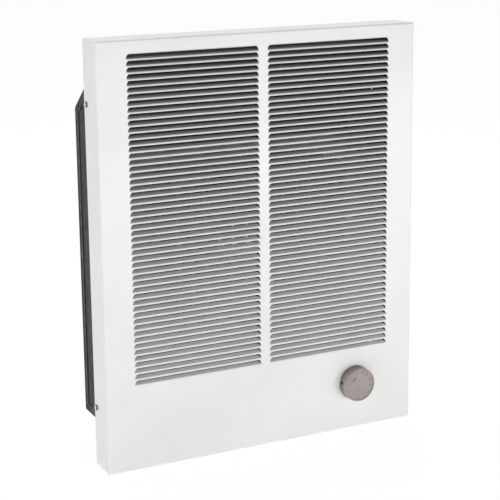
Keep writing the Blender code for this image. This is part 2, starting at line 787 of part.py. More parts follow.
def element_heights():
    """Heights of the heating element's four runs, from the top down."""
    inner = ELEMENT_PAIR_GAP / 2
    outer = inner + 2 * ELEMENT_BEND_RADIUS
    return [AXIS_HEIGHT + step for step in (outer, inner, -inner, -outer)]


def duct_screw_points():
    up = DUCT_HEIGHT / 2 + DUCT_FLANGE / 2
    return [(0, DUCT_BACK - DUCT_SHEET, AXIS_HEIGHT + z) for z in mirrored(up)]


def build_duct():
    """The sheet duct that leads the heated air from the fan deck to the louvres."""
    shape = bmesh.new()
    corners = rectangle_points(DUCT_WIDTH, DUCT_HEIGHT, (0, AXIS_HEIGHT))
    flange_front = DUCT_BACK - DUCT_SHEET
    loop = [shape.verts.new((x, flange_front, z)) for x, z in corners]
    base = [shape.edges.new((loop[i], loop[i - 1])) for i in range(4)]
    walls = bmesh.ops.extrude_edge_only(shape, edges=base)["geom"]
    tips = [item for item in walls if isinstance(item, bmesh.types.BMVert)]
    bmesh.ops.translate(shape, verts=tips, vec=(0, DUCT_FRONT - flange_front, 0))
    flange = bmesh.ops.extrude_edge_only(shape, edges=base)["geom"]
    for vert in [item for item in flange if isinstance(item, bmesh.types.BMVert)]:
        vert.co.x += math.copysign(DUCT_FLANGE, vert.co.x)
        vert.co.z += math.copysign(DUCT_FLANGE, vert.co.z - AXIS_HEIGHT)
    bmesh.ops.recalc_face_normals(shape, faces=shape.faces)
    right_wall = max(shape.faces, key=lambda face: face.calc_center_median().x * abs(face.normal.x))
    if right_wall.normal.x < 0:
        bmesh.ops.reverse_faces(shape, faces=shape.faces)
    duct = add_part("discharge_duct", to_mesh("discharge_duct", shape), "galvanised steel")
    thicken(duct, DUCT_SHEET)
    centres = [(0, ELEMENT_DEPTH, height) for height in element_heights()]
    hole_radius = ELEMENT_RADIUS + ELEMENT_HOLE_GAP
    across = DUCT_WIDTH + THROUGH
    holes = rods_mesh("element_holes", hole_radius, across, centres, SCREW_ROUND, TO_RIGHT)
    cut(duct, add_cutter("element_holes", holes))
    cut_screw_holes(duct, "duct_screw_holes", duct_screw_points(), TO_ROOM)
    cut_screw_holes(duct, "limit_holes_in_duct", limit_screw_points(), UPRIGHT)
    for number, point in enumerate(duct_screw_points(), 1):
        add_screw(f"duct_screw_{number}", point, TO_ROOM)


def element_route(top, bottom):
    """A hairpin in the plane of the louvres: its ends stand out on the right, its bend on the left."""
    end = DUCT_WIDTH / 2 + ELEMENT_TAIL
    bend_centre = -DUCT_WIDTH / 2 - ELEMENT_RADIUS
    middle = (top + bottom) / 2
    radius = (top - bottom) / 2
    route = [(end, ELEMENT_DEPTH, top)]
    for step in range(ELEMENT_BEND_STEPS + 1):
        angle = math.pi / 2 + math.pi * step / ELEMENT_BEND_STEPS
        x = bend_centre + radius * math.cos(angle)
        route.append((x, ELEMENT_DEPTH, middle + radius * math.sin(angle)))
    route.append((end, ELEMENT_DEPTH, bottom))
    return route


def build_element(name, top, bottom):
    """One sheathed hairpin with steel fins brazed across both its runs."""
    tube = tube_mesh(name, element_route(top, bottom), ELEMENT_RADIUS)
    element = add_part(name, tube, "element steel")
    space = DUCT_WIDTH / 2 - DUCT_SHEET - FIN_PITCH / 2
    count = 1 + int(2 * space / FIN_PITCH + 0.001)
    first = -FIN_PITCH * (count - 1) / 2
    height = top - bottom + 2 * FIN_MARGIN
    size = (FIN_SHEET, FIN_WIDTH, height)
    middle = (top + bottom) / 2
    centres = [(first + step * FIN_PITCH, ELEMENT_DEPTH, middle) for step in range(count)]
    join(element, add_cutter(f"{name}_fins", boxes_mesh(f"{name}_fins", size, centres)))


def build_elements():
    heights = element_heights()
    build_element("heating_element_upper", heights[0], heights[1])
    build_element("heating_element_lower", heights[2], heights[3])
    profile = [
        (0, TERMINAL_BUSH_LENGTH + TERMINAL_STUD_LENGTH),
        (TERMINAL_STUD_RADIUS, TERMINAL_BUSH_LENGTH + TERMINAL_STUD_LENGTH),
        (TERMINAL_STUD_RADIUS, TERMINAL_BUSH_LENGTH),
        (ELEMENT_RADIUS, TERMINAL_BUSH_LENGTH),
        (ELEMENT_RADIUS, 0),
        (0, 0),
    ]
    start = DUCT_WIDTH / 2 + ELEMENT_TAIL + SEAT_GAP
    for number, height in enumerate(heights, 1):
        place_at = (start, ELEMENT_DEPTH, height)
        add_turned(f"element_terminal_{number}", profile, "porcelain", SCREW_ROUND, place_at, TO_RIGHT)


def limit_level():
    return AXIS_HEIGHT + DUCT_HEIGHT / 2


def limit_screw_points():
    top = limit_level() + SEAT_GAP + LIMIT_BASE_SHEET
    return [(LIMIT_OFFSET + step, ELEMENT_DEPTH, top) for step in mirrored(LIMIT_SCREW_SPACING / 2)]


def build_limit_switch():
    """The round thermal cut-out on its eared base, screwed to the duct's roof."""
    base = stadium_points(LIMIT_BASE_LENGTH, LIMIT_BASE_WIDTH)
    foot = limit_level() + SEAT_GAP
    middle = (LIMIT_OFFSET, ELEMENT_DEPTH, foot + LIMIT_BASE_SHEET / 2)
    mesh = plate_mesh("limit_switch", [base], LIMIT_BASE_SHEET)
    switch = add_part("limit_switch", mesh, "phenolic", middle)
    cap = rods_mesh("limit_cap", LIMIT_RADIUS, LIMIT_HEIGHT, [(0, 0, LIMIT_HEIGHT / 2)], BUSH_ROUND)
    join(switch, add_cutter("limit_cap", cap, middle))
    tab_size = (LIMIT_TAB_SHEET, LIMIT_TAB_WIDTH, LIMIT_TAB_HEIGHT + LIMIT_TAB_ROOT)
    tab_middle = LIMIT_HEIGHT + (LIMIT_TAB_HEIGHT - LIMIT_TAB_ROOT) / 2
    tabs = [(side, 0, tab_middle) for side in mirrored(LIMIT_RADIUS / 2)]
    join(switch, add_cutter("limit_tabs", boxes_mesh("limit_tabs", tab_size, tabs), middle))
    cut_screw_holes(switch, "limit_screw_holes", limit_screw_points(), UPRIGHT)
    for number, point in enumerate(limit_screw_points(), 1):
        add_screw(f"limit_screw_{number}", point, UPRIGHT, length=LIMIT_SCREW_LENGTH)


def strap_screw_points():
    across = STRAP_RISER + STRAP_SHEET + (STRAP_FOOT - STRAP_SHEET) / 2
    return [(x, DECK_FRONT, AXIS_HEIGHT) for x in mirrored(across)]


def build_motor_bracket():
    """A strap bent like a hat: feet on the deck's back, risers past the collar, a bridge for the motor."""
    foot_front = DECK_FRONT + DECK_SHEET + SEAT_GAP
    foot_end = STRAP_RISER + STRAP_FOOT
    half_outline = [
        (foot_end, foot_front),
        (STRAP_RISER, foot_front),
        (STRAP_RISER, STRAP_FRONT),
    ]
    outline = [(-x, y) for x, y in half_outline] + [(x, y) for x, y in reversed(half_outline)]
    shape = bmesh.new()
    line = [shape.verts.new((x, y, AXIS_HEIGHT - STRAP_WIDTH / 2)) for x, y in outline]
    edges = [shape.edges.new(pair) for pair in zip(line, line[1:])]
    swept = bmesh.ops.extrude_edge_only(shape, edges=edges)["geom"]
    moved = [item for item in swept if isinstance(item, bmesh.types.BMVert)]
    bmesh.ops.translate(shape, verts=moved, vec=(0, 0, STRAP_WIDTH))
    bmesh.ops.recalc_face_normals(shape, faces=shape.faces)
    bridge = max(shape.faces, key=lambda face: face.calc_area())
    if bridge.normal.y > 0:
        bmesh.ops.reverse_faces(shape, faces=shape.faces)
    bracket = add_part("motor_bracket", to_mesh("motor_bracket", shape), "galvanised steel")
    thicken(bracket, STRAP_SHEET)
    centre = (0, STRAP_FRONT, AXIS_HEIGHT)
    hole = rods_mesh("strap_shaft_hole", BOSS_RADIUS, THROUGH, [centre], SMALL_ROUND, TO_ROOM)
    cut(bracket, add_cutter("strap_shaft_hole", hole))
    bolts = [(x, STRAP_FRONT, AXIS_HEIGHT) for x in mirrored(BOLT_SPACING / 2)]
    radius = BOLT_RADIUS + SEAT_GAP
    bolt_holes = rods_mesh("strap_bolt_holes", radius, THROUGH, bolts, SCREW_ROUND, TO_ROOM)
    cut(bracket, add_cutter("strap_bolt_holes", bolt_holes))
    cut_screw_holes(bracket, "strap_foot_holes", strap_screw_points(), TO_ROOM)
    for number, point in enumerate(strap_screw_points(), 1):
        add_screw(f"motor_bracket_screw_{number}", point, TO_ROOM)


def stator_middle():
    return (0, (STATOR_FRONT + STATOR_BACK) / 2, AXIS_HEIGHT)


def limb_middle():
    """Height of the stator's lower limb, which carries the coil."""
    return AXIS_HEIGHT - STATOR_BOTTOM + STATOR_LIMB / 2


def build_stator():
    """The stack of laminations: a bore for the rotor, a window for the coil and two bolt holes."""
    height = STATOR_TOP + STATOR_BOTTOM
    outline = rectangle_points(STATOR_WIDTH, height, (0, (STATOR_TOP - STATOR_BOTTOM) / 2))
    window_middle = -STATOR_BOTTOM + STATOR_LIMB + STATOR_WINDOW_HEIGHT / 2
    holes = [
        circle_points(ROTOR_RADIUS + ROTOR_GAP, MEDIUM_ROUND),
        rectangle_points(STATOR_WINDOW_WIDTH, STATOR_WINDOW_HEIGHT, (0, window_middle)),
    ]
    for x in mirrored(BOLT_SPACING / 2):
        holes.append(circle_points(BOLT_RADIUS + SEAT_GAP, SCREW_ROUND, (x, 0)))
    mesh = plate_mesh("motor_laminations", [outline, *holes], STATOR_LENGTH)
    add_part("motor_laminations", mesh, "lamination steel", stator_middle(), TO_ROOM)


def build_coil():
    """The moulded bobbin round the lower limb, and the taped winding on it."""
    slot_x = STATOR_WINDOW_WIDTH - 2 * SEAT_GAP
    inner_y, inner_z = STATOR_LENGTH + 2 * SEAT_GAP, STATOR_LIMB + 2 * SEAT_GAP
    tube_y, tube_z = inner_y + 2 * BOBBIN_SHEET, inner_z + 2 * BOBBIN_SHEET
    flange_y, flange_z = tube_y + 2 * COIL_BUILD, tube_z + 2 * COIL_BUILD
    middle = (0, stator_middle()[1], limb_middle())

    bobbin = add_part("coil_bobbin", box_mesh("coil_bobbin", (slot_x, tube_y, tube_z)), "nylon", middle)
    cheeks = [(x, 0, 0) for x in mirrored(slot_x / 2 - BOBBIN_SHEET / 2)]
    cheek_mesh = boxes_mesh("bobbin_cheeks", (BOBBIN_SHEET, flange_y, flange_z), cheeks)
    join(bobbin, add_cutter("bobbin_cheeks", cheek_mesh, middle))
    passage = box_mesh("limb_passage", (2 * slot_x, inner_y, inner_z))
    cut(bobbin, add_cutter("limb_passage", passage, middle))

    winding_x = slot_x - 2 * BOBBIN_SHEET - 2 * SEAT_GAP
    size = (winding_x, flange_y - 2 * BOBBIN_SHEET, flange_z - 2 * BOBBIN_SHEET)
    coil = add_part("motor_coil", box_mesh("motor_coil", size), "winding tape", middle)
    round_edges(coil, COIL_BUILD / 3, 1)
    core = box_mesh("coil_core", (2 * slot_x, tube_y + 2 * SEAT_GAP, tube_z + 2 * SEAT_GAP))
    cut(coil, add_cutter("coil_core", core, middle))


def build_bearing_bracket(name, face, direction, bearing_name):
    """A die-cast bridge: two posts on the stator, a bar across them and a boss for the bearing."""
    bar = stadium_points(BOLT_SPACING + BRACKET_WIDTH, BRACKET_WIDTH)
    place_at = Vector(face)
    outward = direction_of(direction)
    bar_middle = place_at + outward * (BRACKET_HEIGHT - BRACKET_BAR / 2)
    bracket = add_part(name, plate_mesh(name, [bar], BRACKET_BAR), "die cast zinc", bar_middle, direction)
    post_length = BRACKET_HEIGHT - BRACKET_BAR / 2
    drop = BRACKET_BAR / 2 - BRACKET_HEIGHT
    posts = [(x, 0, drop + post_length / 2) for x in mirrored(BOLT_SPACING / 2)]
    post_mesh = rods_mesh(f"{name}_posts", BRACKET_POST_RADIUS, post_length, posts, SCREW_ROUND)
    join(bracket, add_cutter(f"{name}_posts", post_mesh, bar_middle, direction))
    boss_length = BRACKET_HEIGHT - BRACKET_BAR
    boss = rods_mesh(f"{name}_boss", BOSS_RADIUS, boss_length, [(0, 0, -boss_length / 2)], SMALL_ROUND)
    join(bracket, add_cutter(f"{name}_boss", boss, bar_middle, direction))
    reach = 2 * BRACKET_HEIGHT
    bore = rods_mesh(f"{name}_bore", BEARING_RADIUS + SEAT_GAP, reach, [(0, 0, 0)], SMALL_ROUND)
    cut(bracket, add_cutter(f"{name}_bore", bore, bar_middle, direction))
    holes = [(x, 0, 0) for x in mirrored(BOLT_SPACING / 2)]
    hole_mesh = rods_mesh(f"{name}_holes", BOLT_RADIUS + SEAT_GAP, reach, holes, SCREW_ROUND)
    cut(bracket, add_cutter(f"{name}_holes", hole_mesh, bar_middle, direction))

    bush = ring_profile(BEARING_RADIUS, SHAFT_RADIUS + SEAT_GAP, -boss_length, BRACKET_BAR / 2)
    add_turned(bearing_name, bush, "bronze", SMALL_ROUND, bar_middle, direction, closed=True)


def build_bearing_brackets():
    front_face = (0, BRACKET_FRONT + BRACKET_HEIGHT, AXIS_HEIGHT)
    rear_face = (0, REAR_BRACKET_FRONT, AXIS_HEIGHT)
    build_bearing_bracket("front_bearing_bracket", front_face, TO_ROOM, "front_bearing")
    build_bearing_bracket("rear_bearing_bracket", rear_face, TO_WALL, "rear_bearing")


def build_motor_bolts():
    """Two through bolts from the rear bracket to the strap, with nuts in front of the strap."""
    head_seat = REAR_BRACKET_FRONT + BRACKET_HEIGHT + SEAT_GAP
    nut_back = STRAP_FRONT - SEAT_GAP
    length = head_seat - nut_back + NUT_HEIGHT + BOLT_END
    profile = [
        (0, BOLT_HEAD_HEIGHT),
        (NUT_WIDTH / 2, BOLT_HEAD_HEIGHT),
        (NUT_WIDTH / 2, 0),
        (BOLT_RADIUS, 0),
        (BOLT_RADIUS, -length),
        (0, -length),
    ]
    for number, x in enumerate(mirrored(BOLT_SPACING / 2), 1):
        seat = (x, head_seat, AXIS_HEIGHT)
        add_turned(f"motor_bolt_{number}", profile, "zinc", SCREW_ROUND, seat, TO_WALL)
        hexagon = circle_points(NUT_WIDTH / math.sqrt(3), 6)
        bore = circle_points(BOLT_RADIUS + SEAT_GAP, SCREW_ROUND)
        name = f"motor_nut_{number}"
        middle = (x, nut_back - NUT_HEIGHT / 2, AXIS_HEIGHT)
        add_part(name, plate_mesh(name, [hexagon, bore], NUT_HEIGHT), "zinc", middle, TO_ROOM)


def add_axis(name, location):
    """An empty on a joint's axis, which carries the pieces that turn round it."""
    axis = bpy.data.objects.new(name, None)
    PARTS.objects.link(axis)
    axis.location = location
    return axis


def fan_blade_point(along, across):
    """A point of the blade that lies along +X: along runs from root to tip, across from edge to edge."""
    radius = FAN_BLADE_ROOT + (FAN_RADIUS - FAN_BLADE_ROOT) * along
    pitch = FAN_PITCH_ROOT + (FAN_PITCH_TIP - FAN_PITCH_ROOT) * along
    narrowing = FAN_ROOT_SHARE + (1 - FAN_ROOT_SHARE) * along
    sweep = FAN_BLADE_SPAN * across * narrowing
    rise = radius * math.sin(sweep) * math.tan(pitch)
    return (radius * math.cos(sweep), radius * math.sin(sweep), rise)


def fan_blades_mesh():
    """Five open blade surfaces, wider and flatter towards the tip."""
    shape = bmesh.new()
    along_steps, across_steps = 3, 3
    for blade in range(FAN_BLADES):
        turn = Matrix.Rotation(2 * math.pi * blade / FAN_BLADES, 4, "Z")
        grid = []
        for i in range(along_steps + 1):
            row = []
            for j in range(across_steps + 1):
                point = fan_blade_point(i / along_steps, j / across_steps - 0.5)
                row.append(shape.verts.new(turn @ Vector(point)))
            grid.append(row)
        for lower, upper in zip(grid, grid[1:]):
            for j in range(across_steps):
                shape.faces.new((lower[j], upper[j], upper[j + 1], lower[j + 1]))
    return to_mesh("fan_blade_surfaces", shape)


def build_fan(axis):
    """The pressed fan: a flat spider on the hub and five pitched blades."""
    centre = (0, FAN_CENTRE_DEPTH, AXIS_HEIGHT)
    bore = SHAFT_RADIUS + SEAT_GAP
    spider = [circle_points(FAN_SPIDER_RADIUS, MEDIUM_ROUND), circle_points(bore, BUSH_ROUND)]
    mesh = plate_mesh("fan_blades", spider, FAN_SHEET)
    fan = add_part("fan_blades", mesh, "aluminium", centre, TO_ROOM, axis)
    blades = add_cutter("fan_blade_surfaces", fan_blades_mesh(), centre, TO_ROOM)
    thicken(blades, FAN_SHEET, 0)
    join(fan, blades)
    build_hub(axis)


def build_hub(axis):
    seat = (0, HUB_FRONT, AXIS_HEIGHT)
    profile = ring_profile(HUB_RADIUS, SHAFT_RADIUS + SEAT_GAP, 0, HUB_LENGTH)
    hub = add_turned("fan_hub", profile, "zinc", BUSH_ROUND, seat, TO_WALL, axis, closed=True)
    grub_middle = Vector(seat) + Vector((0, HUB_LENGTH / 2, HUB_RADIUS))
    reach = 2 * (HUB_RADIUS - SHAFT_RADIUS / 2)
    hole = rods_mesh("hub_grub_hole", GRUB_RADIUS + SEAT_GAP, reach, [grub_middle], SMALL_ROUND)
    cut(hub, add_cutter("hub_grub_hole", hole))
    start = SHAFT_RADIUS + SEAT_GAP
    length = HUB_RADIUS - start
    base = Vector((0, grub_middle.y, AXIS_HEIGHT + start))
    add_grub("fan_set_screw", base, UPRIGHT, length, axis)


def add_grub(name, base, direction, length, parent):
    """A headless set screw that starts at the given point, with a hexagon socket in its outer end."""
    profile = [(0, length), (GRUB_RADIUS, length), (GRUB_RADIUS, 0), (0, 0)]
    grub = add_turned(name, profile, "black oxide", SMALL_ROUND, base, direction, parent)
    socket = rods_mesh(f"{name}_socket", GRUB_SOCKET_RADIUS, length / 2, [(0, 0, length)], 6)
    cut(grub, add_cutter(f"{name}_socket", socket, base, direction))


def build_rotor(axis):
    """The die-cast rotor and the shaft that carries it and the fan."""
    middle = stator_middle()
    half = STATOR_LENGTH / 2
    profile = ring_profile(ROTOR_RADIUS, SHAFT_RADIUS + SEAT_GAP, -half, half)
    add_turned("rotor", profile, "lamination steel", MEDIUM_ROUND, middle, TO_ROOM, axis, closed=True)
    front = FAN_CENTRE_DEPTH - SHAFT_FRONT_END
    back = REAR_BRACKET_FRONT + BRACKET_HEIGHT + SHAFT_REAR_END
    shaft = [(0, 0), (SHAFT_RADIUS, 0), (SHAFT_RADIUS, front - back), (0, front - back)]
    add_turned("motor_shaft", shaft, "steel shaft", BUSH_ROUND, (0, front, AXIS_HEIGHT), TO_ROOM, axis)


def thermostat_foot_points():
    """Where the thermostat bracket's two foot screws stand on the can's floor."""
    across = THERMOSTAT_WIDTH / 2
    back = THERMOSTAT_PLATE + THERMOSTAT_FOOT - THERMOSTAT_FOOT_SCREW_END
    level = CAN_FLOOR + CAN_SHEET + SEAT_GAP + THERMOSTAT_SHEET
    return [(KNOB_RIGHT + x, back, level) for x in mirrored(across)]


def build_thermostat_bracket():
    """An angle on the can's floor that holds the thermostat upright behind the cover."""
    floor = CAN_FLOOR + CAN_SHEET + SEAT_GAP
    top = KNOB_LEVEL + THERMOSTAT_HEIGHT / 2 + THERMOSTAT_BRACKET_MARGIN
    width = THERMOSTAT_WIDTH + 2 * THERMOSTAT_BRACKET_MARGIN
    section = [
        (0, 0),
        (THERMOSTAT_FOOT, 0),
        (THERMOSTAT_FOOT, THERMOSTAT_SHEET),
        (THERMOSTAT_SHEET, THERMOSTAT_SHEET),
        (THERMOSTAT_SHEET, top - floor),
        (0, top - floor),
    ]
    mesh = plate_mesh("thermostat_bracket", [section], width)
    corner = (KNOB_RIGHT, THERMOSTAT_PLATE, floor)
    upright_along_y = (math.radians(90), 0, math.radians(90))
    bracket = add_part("thermostat_bracket", mesh, "galvanised steel", corner, upright_along_y)
    centre = (KNOB_RIGHT, THERMOSTAT_PLATE, KNOB_LEVEL)
    radius = THERMOSTAT_BUSH_RADIUS + SEAT_GAP
    hole = rods_mesh("thermostat_hole", radius, THROUGH, [centre], BUSH_ROUND, TO_ROOM)
    cut(bracket, add_cutter("thermostat_hole", hole))
    cut_screw_holes(bracket, "thermostat_foot_holes", thermostat_foot_points(), UPRIGHT)
    for number, point in enumerate(thermostat_foot_points(), 1):
        add_screw(f"thermostat_bracket_screw_{number}", point, UPRIGHT, length=SHORT_SCREW_LENGTH)


def build_thermostat():
    """The thermostat's case behind the bracket, its bush through it and the nut that clamps it."""
    back_of_plate = THERMOSTAT_PLATE + THERMOSTAT_SHEET + SEAT_GAP
    case_centre = (KNOB_RIGHT, back_of_plate + THERMOSTAT_DEPTH / 2, KNOB_LEVEL)
    size = (THERMOSTAT_WIDTH, THERMOSTAT_DEPTH, THERMOSTAT_HEIGHT)
    body = add_part("thermostat_body", box_mesh("thermostat_body", size), "phenolic", case_centre)
    round_edges(body, THERMOSTAT_CORNER, 1)
    axis_point = (KNOB_RIGHT, back_of_plate, KNOB_LEVEL)
    bush_start = -THERMOSTAT_DEPTH / 4
    bush_length = THERMOSTAT_BUSH_LENGTH - bush_start
    bush_middle = (0, 0, bush_start + bush_length / 2)
    bush = rods_mesh("thermostat_bush", THERMOSTAT_BUSH_RADIUS, bush_length, [bush_middle], BUSH_ROUND)
    join(body, add_cutter("thermostat_bush", bush, axis_point, TO_ROOM))
    bore_depth = THERMOSTAT_DEPTH / 2
    bore_length = bore_depth + 2 * THERMOSTAT_BUSH_LENGTH
    bore_middle = (0, 0, bore_length / 2 - bore_depth)
    bore_radius = SPINDLE_RADIUS + SEAT_GAP
    bore = rods_mesh("spindle_bore", bore_radius, bore_length, [bore_middle], BUSH_ROUND)
    cut(body, add_cutter("spindle_bore", bore, axis_point, TO_ROOM))

    hexagon = circle_points(THERMOSTAT_NUT_WIDTH / math.sqrt(3), 6)
    hole = circle_points(THERMOSTAT_BUSH_RADIUS + SEAT_GAP, BUSH_ROUND)
    mesh = plate_mesh("thermostat_nut", [hexagon, hole], THERMOSTAT_NUT_HEIGHT)
    nut_middle = THERMOSTAT_PLATE - SEAT_GAP - THERMOSTAT_NUT_HEIGHT / 2
    add_part("thermostat_nut", mesh, "zinc", (KNOB_RIGHT, nut_middle, KNOB_LEVEL), TO_ROOM)


def knob_profile():
    """The knob's section from the middle of its face, down its side and up inside round its boss."""
    inner_top = KNOB_HEIGHT - KNOB_TOP_WALL
    bore = SPINDLE_RADIUS + SEAT_GAP
    return [
        (0, KNOB_HEIGHT),
        (KNOB_TOP_RADIUS - KNOB_CHAMFER, KNOB_HEIGHT),
        (KNOB_TOP_RADIUS, KNOB_HEIGHT - KNOB_CHAMFER),
        (KNOB_BASE_RADIUS, 0),
        (KNOB_BASE_RADIUS - KNOB_WALL, 0),
        (KNOB_TOP_RADIUS - KNOB_WALL, inner_top),
        (KNOB_BOSS_RADIUS, inner_top),
        (KNOB_BOSS_RADIUS, KNOB_BOSS_RECESS),
        (bore, KNOB_BOSS_RECESS),
        (bore, inner_top),
        (0, inner_top),
    ]


def knob_base():
    return (KNOB_RIGHT, -COVER_DEPTH - KNOB_COVER_GAP, KNOB_LEVEL)


def dial_point(distance, depth):
    """A point at that depth and at that distance from the dial's axis, on the set screw's side."""
    across = distance * math.cos(GRUB_TURN)
    return (KNOB_RIGHT - across, depth, KNOB_LEVEL + distance * math.sin(GRUB_TURN))


def build_knob(axis):
    seat = knob_base()
    knob = add_turned("knob", knob_profile(), "taupe plastic", LARGE_ROUND, seat, TO_ROOM, axis)
    grub_depth = seat[1] - GRUB_HEIGHT
    reach = KNOB_BASE_RADIUS
    hole_middle = (0, 0, (reach + SPINDLE_RADIUS) / 2)
    hole = rods_mesh("knob_grub_hole", GRUB_RADIUS + SEAT_GAP, reach, [hole_middle], SMALL_ROUND)
    cut(knob, add_cutter("knob_grub_hole", hole, dial_point(0, grub_depth), TO_GRUB))
    start = SPINDLE_RADIUS - SPINDLE_FLAT + SEAT_GAP
    add_grub("knob_set_screw", dial_point(start, grub_depth), TO_GRUB, KNOB_BOSS_RADIUS - start, axis)


def build_spindle(axis):
    """The thermostat's spindle, with a flat for the knob's set screw."""
    inner_end = THERMOSTAT_PLATE + THERMOSTAT_SHEET + THERMOSTAT_DEPTH / 2 - SPINDLE_END_GAP
    outer_end = knob_base()[1] - KNOB_HEIGHT + KNOB_TOP_WALL + SEAT_GAP
    length = inner_end - outer_end
    profile = [(0, length), (SPINDLE_RADIUS, length), (SPINDLE_RADIUS, 0), (0, 0)]
    name = "thermostat_spindle"
    end = (KNOB_RIGHT, inner_end, KNOB_LEVEL)
    spindle = add_turned(name, profile, "steel shaft", BUSH_ROUND, end, TO_ROOM, axis)
    flat_length = KNOB_HEIGHT - KNOB_TOP_WALL
    size = (2 * SPINDLE_FLAT, flat_length, 4 * SPINDLE_RADIUS)
    middle = dial_point(SPINDLE_RADIUS, outer_end + flat_length / 2 - SEAT_GAP)
    cut(spindle, add_cutter("spindle_flat", box_mesh("spindle_flat", size), middle, (0, GRUB_TURN, 0)))


def wiring_screw_point():
    left = -CAN_HALF + CAN_SHEET + SEAT_GAP
    level = CAN_FLOOR + CAN_SHEET + SEAT_GAP + WIRING_SHEET
    right = left + WIRING_WIDTH - WIRING_FOOT_WIDTH / 2
    return (right, WIRING_FRONT + WIRING_SHEET + WIRING_FLANGE / 2, level)


def ground_screw_point():
    """The earth screw stands on the can's floor behind the wiring cover."""
    level = CAN_FLOOR + CAN_SHEET
    return (-CAN_HALF + WIRING_WIDTH - GROUND_SCREW_INSET, CAN_DEPTH - GROUND_SCREW_SETBACK, level)


def build_wiring_cover():
    """The folded plate that closes the supply wiring compartment in the can's lower left corner."""
    left = -CAN_HALF + CAN_SHEET + SEAT_GAP
    floor = CAN_FLOOR + CAN_SHEET + SEAT_GAP
    depth = CAN_DEPTH - CAN_SHEET - SEAT_GAP - WIRING_FRONT
    sheet = WIRING_SHEET
    front_size = (WIRING_WIDTH, sheet, WIRING_HEIGHT)
    front_centre = (WIRING_WIDTH / 2, sheet / 2, WIRING_HEIGHT / 2)
    corner = (left, WIRING_FRONT, floor)
    front = box_mesh("wiring_cover", front_size, front_centre)
    cover = add_part("wiring_cover", front, "galvanised steel", corner)
    roof_size = (WIRING_WIDTH, depth, sheet)
    roof_centre = (WIRING_WIDTH / 2, depth / 2, WIRING_HEIGHT - sheet / 2)
    join(cover, add_cutter("wiring_roof", box_mesh("wiring_roof", roof_size, roof_centre), corner))
    side_size = (sheet, depth, WIRING_HEIGHT)
    side_centre = (WIRING_WIDTH - sheet / 2, depth / 2, WIRING_HEIGHT / 2)
    join(cover, add_cutter("wiring_side", box_mesh("wiring_side", side_size, side_centre), corner))
    foot_size = (WIRING_FOOT_WIDTH, WIRING_FLANGE, sheet)
    foot_centre = (WIRING_WIDTH - WIRING_FOOT_WIDTH / 2, (sheet + WIRING_FLANGE) / 2, sheet / 2)
    join(cover, add_cutter("wiring_foot", box_mesh("wiring_foot", foot_size, foot_centre), corner))
    cut_screw_holes(cover, "wiring_screw_hole", [wiring_screw_point()], UPRIGHT)
    add_screw("wiring_cover_screw", wiring_screw_point(), UPRIGHT, length=SHORT_SCREW_LENGTH)
    add_screw("ground_screw", ground_screw_point(), UPRIGHT, "green zinc", SHORT_SCREW_LENGTH)


def build_heater():
    """The heater, from the can in the wall out to the cover and the knob."""
    fan_axis = add_axis("fan_axis", (0, FAN_CENTRE_DEPTH, AXIS_HEIGHT))
    dial_axis = add_axis("dial_axis", (KNOB_RIGHT, -COVER_DEPTH, KNOB_LEVEL))
    build_can()
    build_deck_rails()
    build_fan_deck()
    build_deck_screws()
    build_duct()
    build_elements()
    build_limit_switch()
    build_motor_bracket()
    build_stator()
    build_coil()
    build_bearing_brackets()
    build_motor_bolts()
    build_rotor(fan_axis)
    build_fan(fan_axis)
    build_thermostat_bracket()
    build_thermostat()
    build_spindle(dial_axis)
    build_knob(dial_axis)
    build_wiring_cover()
    build_cover_screws()
    build_cover()


build_heater()
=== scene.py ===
"""The looks of a recessed wall heater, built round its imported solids. Metres; +Z up; +Y into the wall."""

import math

import bmesh
import bpy
from mathutils import Matrix, Vector


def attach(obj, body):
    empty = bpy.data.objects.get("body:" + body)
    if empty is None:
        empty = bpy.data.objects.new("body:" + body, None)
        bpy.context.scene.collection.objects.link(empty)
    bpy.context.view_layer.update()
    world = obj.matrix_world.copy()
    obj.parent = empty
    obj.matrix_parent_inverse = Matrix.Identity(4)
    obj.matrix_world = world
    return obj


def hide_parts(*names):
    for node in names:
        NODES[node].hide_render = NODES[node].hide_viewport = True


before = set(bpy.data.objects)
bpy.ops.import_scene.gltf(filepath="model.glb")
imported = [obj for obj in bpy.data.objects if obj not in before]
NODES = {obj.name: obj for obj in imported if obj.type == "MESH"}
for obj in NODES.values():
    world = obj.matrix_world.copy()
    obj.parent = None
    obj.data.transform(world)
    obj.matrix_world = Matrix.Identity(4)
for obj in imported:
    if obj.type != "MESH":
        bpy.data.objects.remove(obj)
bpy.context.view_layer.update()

# The camera, fitted to the corners of the cover and the ends of its louvres in the photograph.
CAMERA_PLACE = (-0.7379, -1.5058, 0.6476)
CAMERA_YAW = math.radians(26.13)
CAMERA_PITCH = math.radians(12.14)
CAMERA_ROLL = math.radians(-0.60)
CAMERA_LENS = 102.13
CAMERA_SENSOR = 36.0
CAMERA_SHIFT = -0.12

# The stage. FLOOR_WHITE is the share of plain white in what the camera sees of the floor.
FLOOR_LEVEL = -0.030
FLOOR_HALF = 14.0
FLOOR_GLOW = 0.42
FLOOR_WHITE = 0.94
SURROUND = 0.13
WHITE = (1.0, 1.0, 1.0, 1.0)

# Each lamp's name, place, target, size and watts.
LAMPS = (
    ("overhead", (0.0, 1.0, 3.0), (0.0, 0.0, 0.22), (2.2, 2.2), 60.0),
    ("key", (0.34, -1.35, 0.10), (0.0, 0.0, 0.12), (1.8, 0.22), 9.25),
    ("fill", (-1.8, -0.35, 0.30), (0.0, 0.0, 0.25), (0.9, 0.5), 7.4),
)

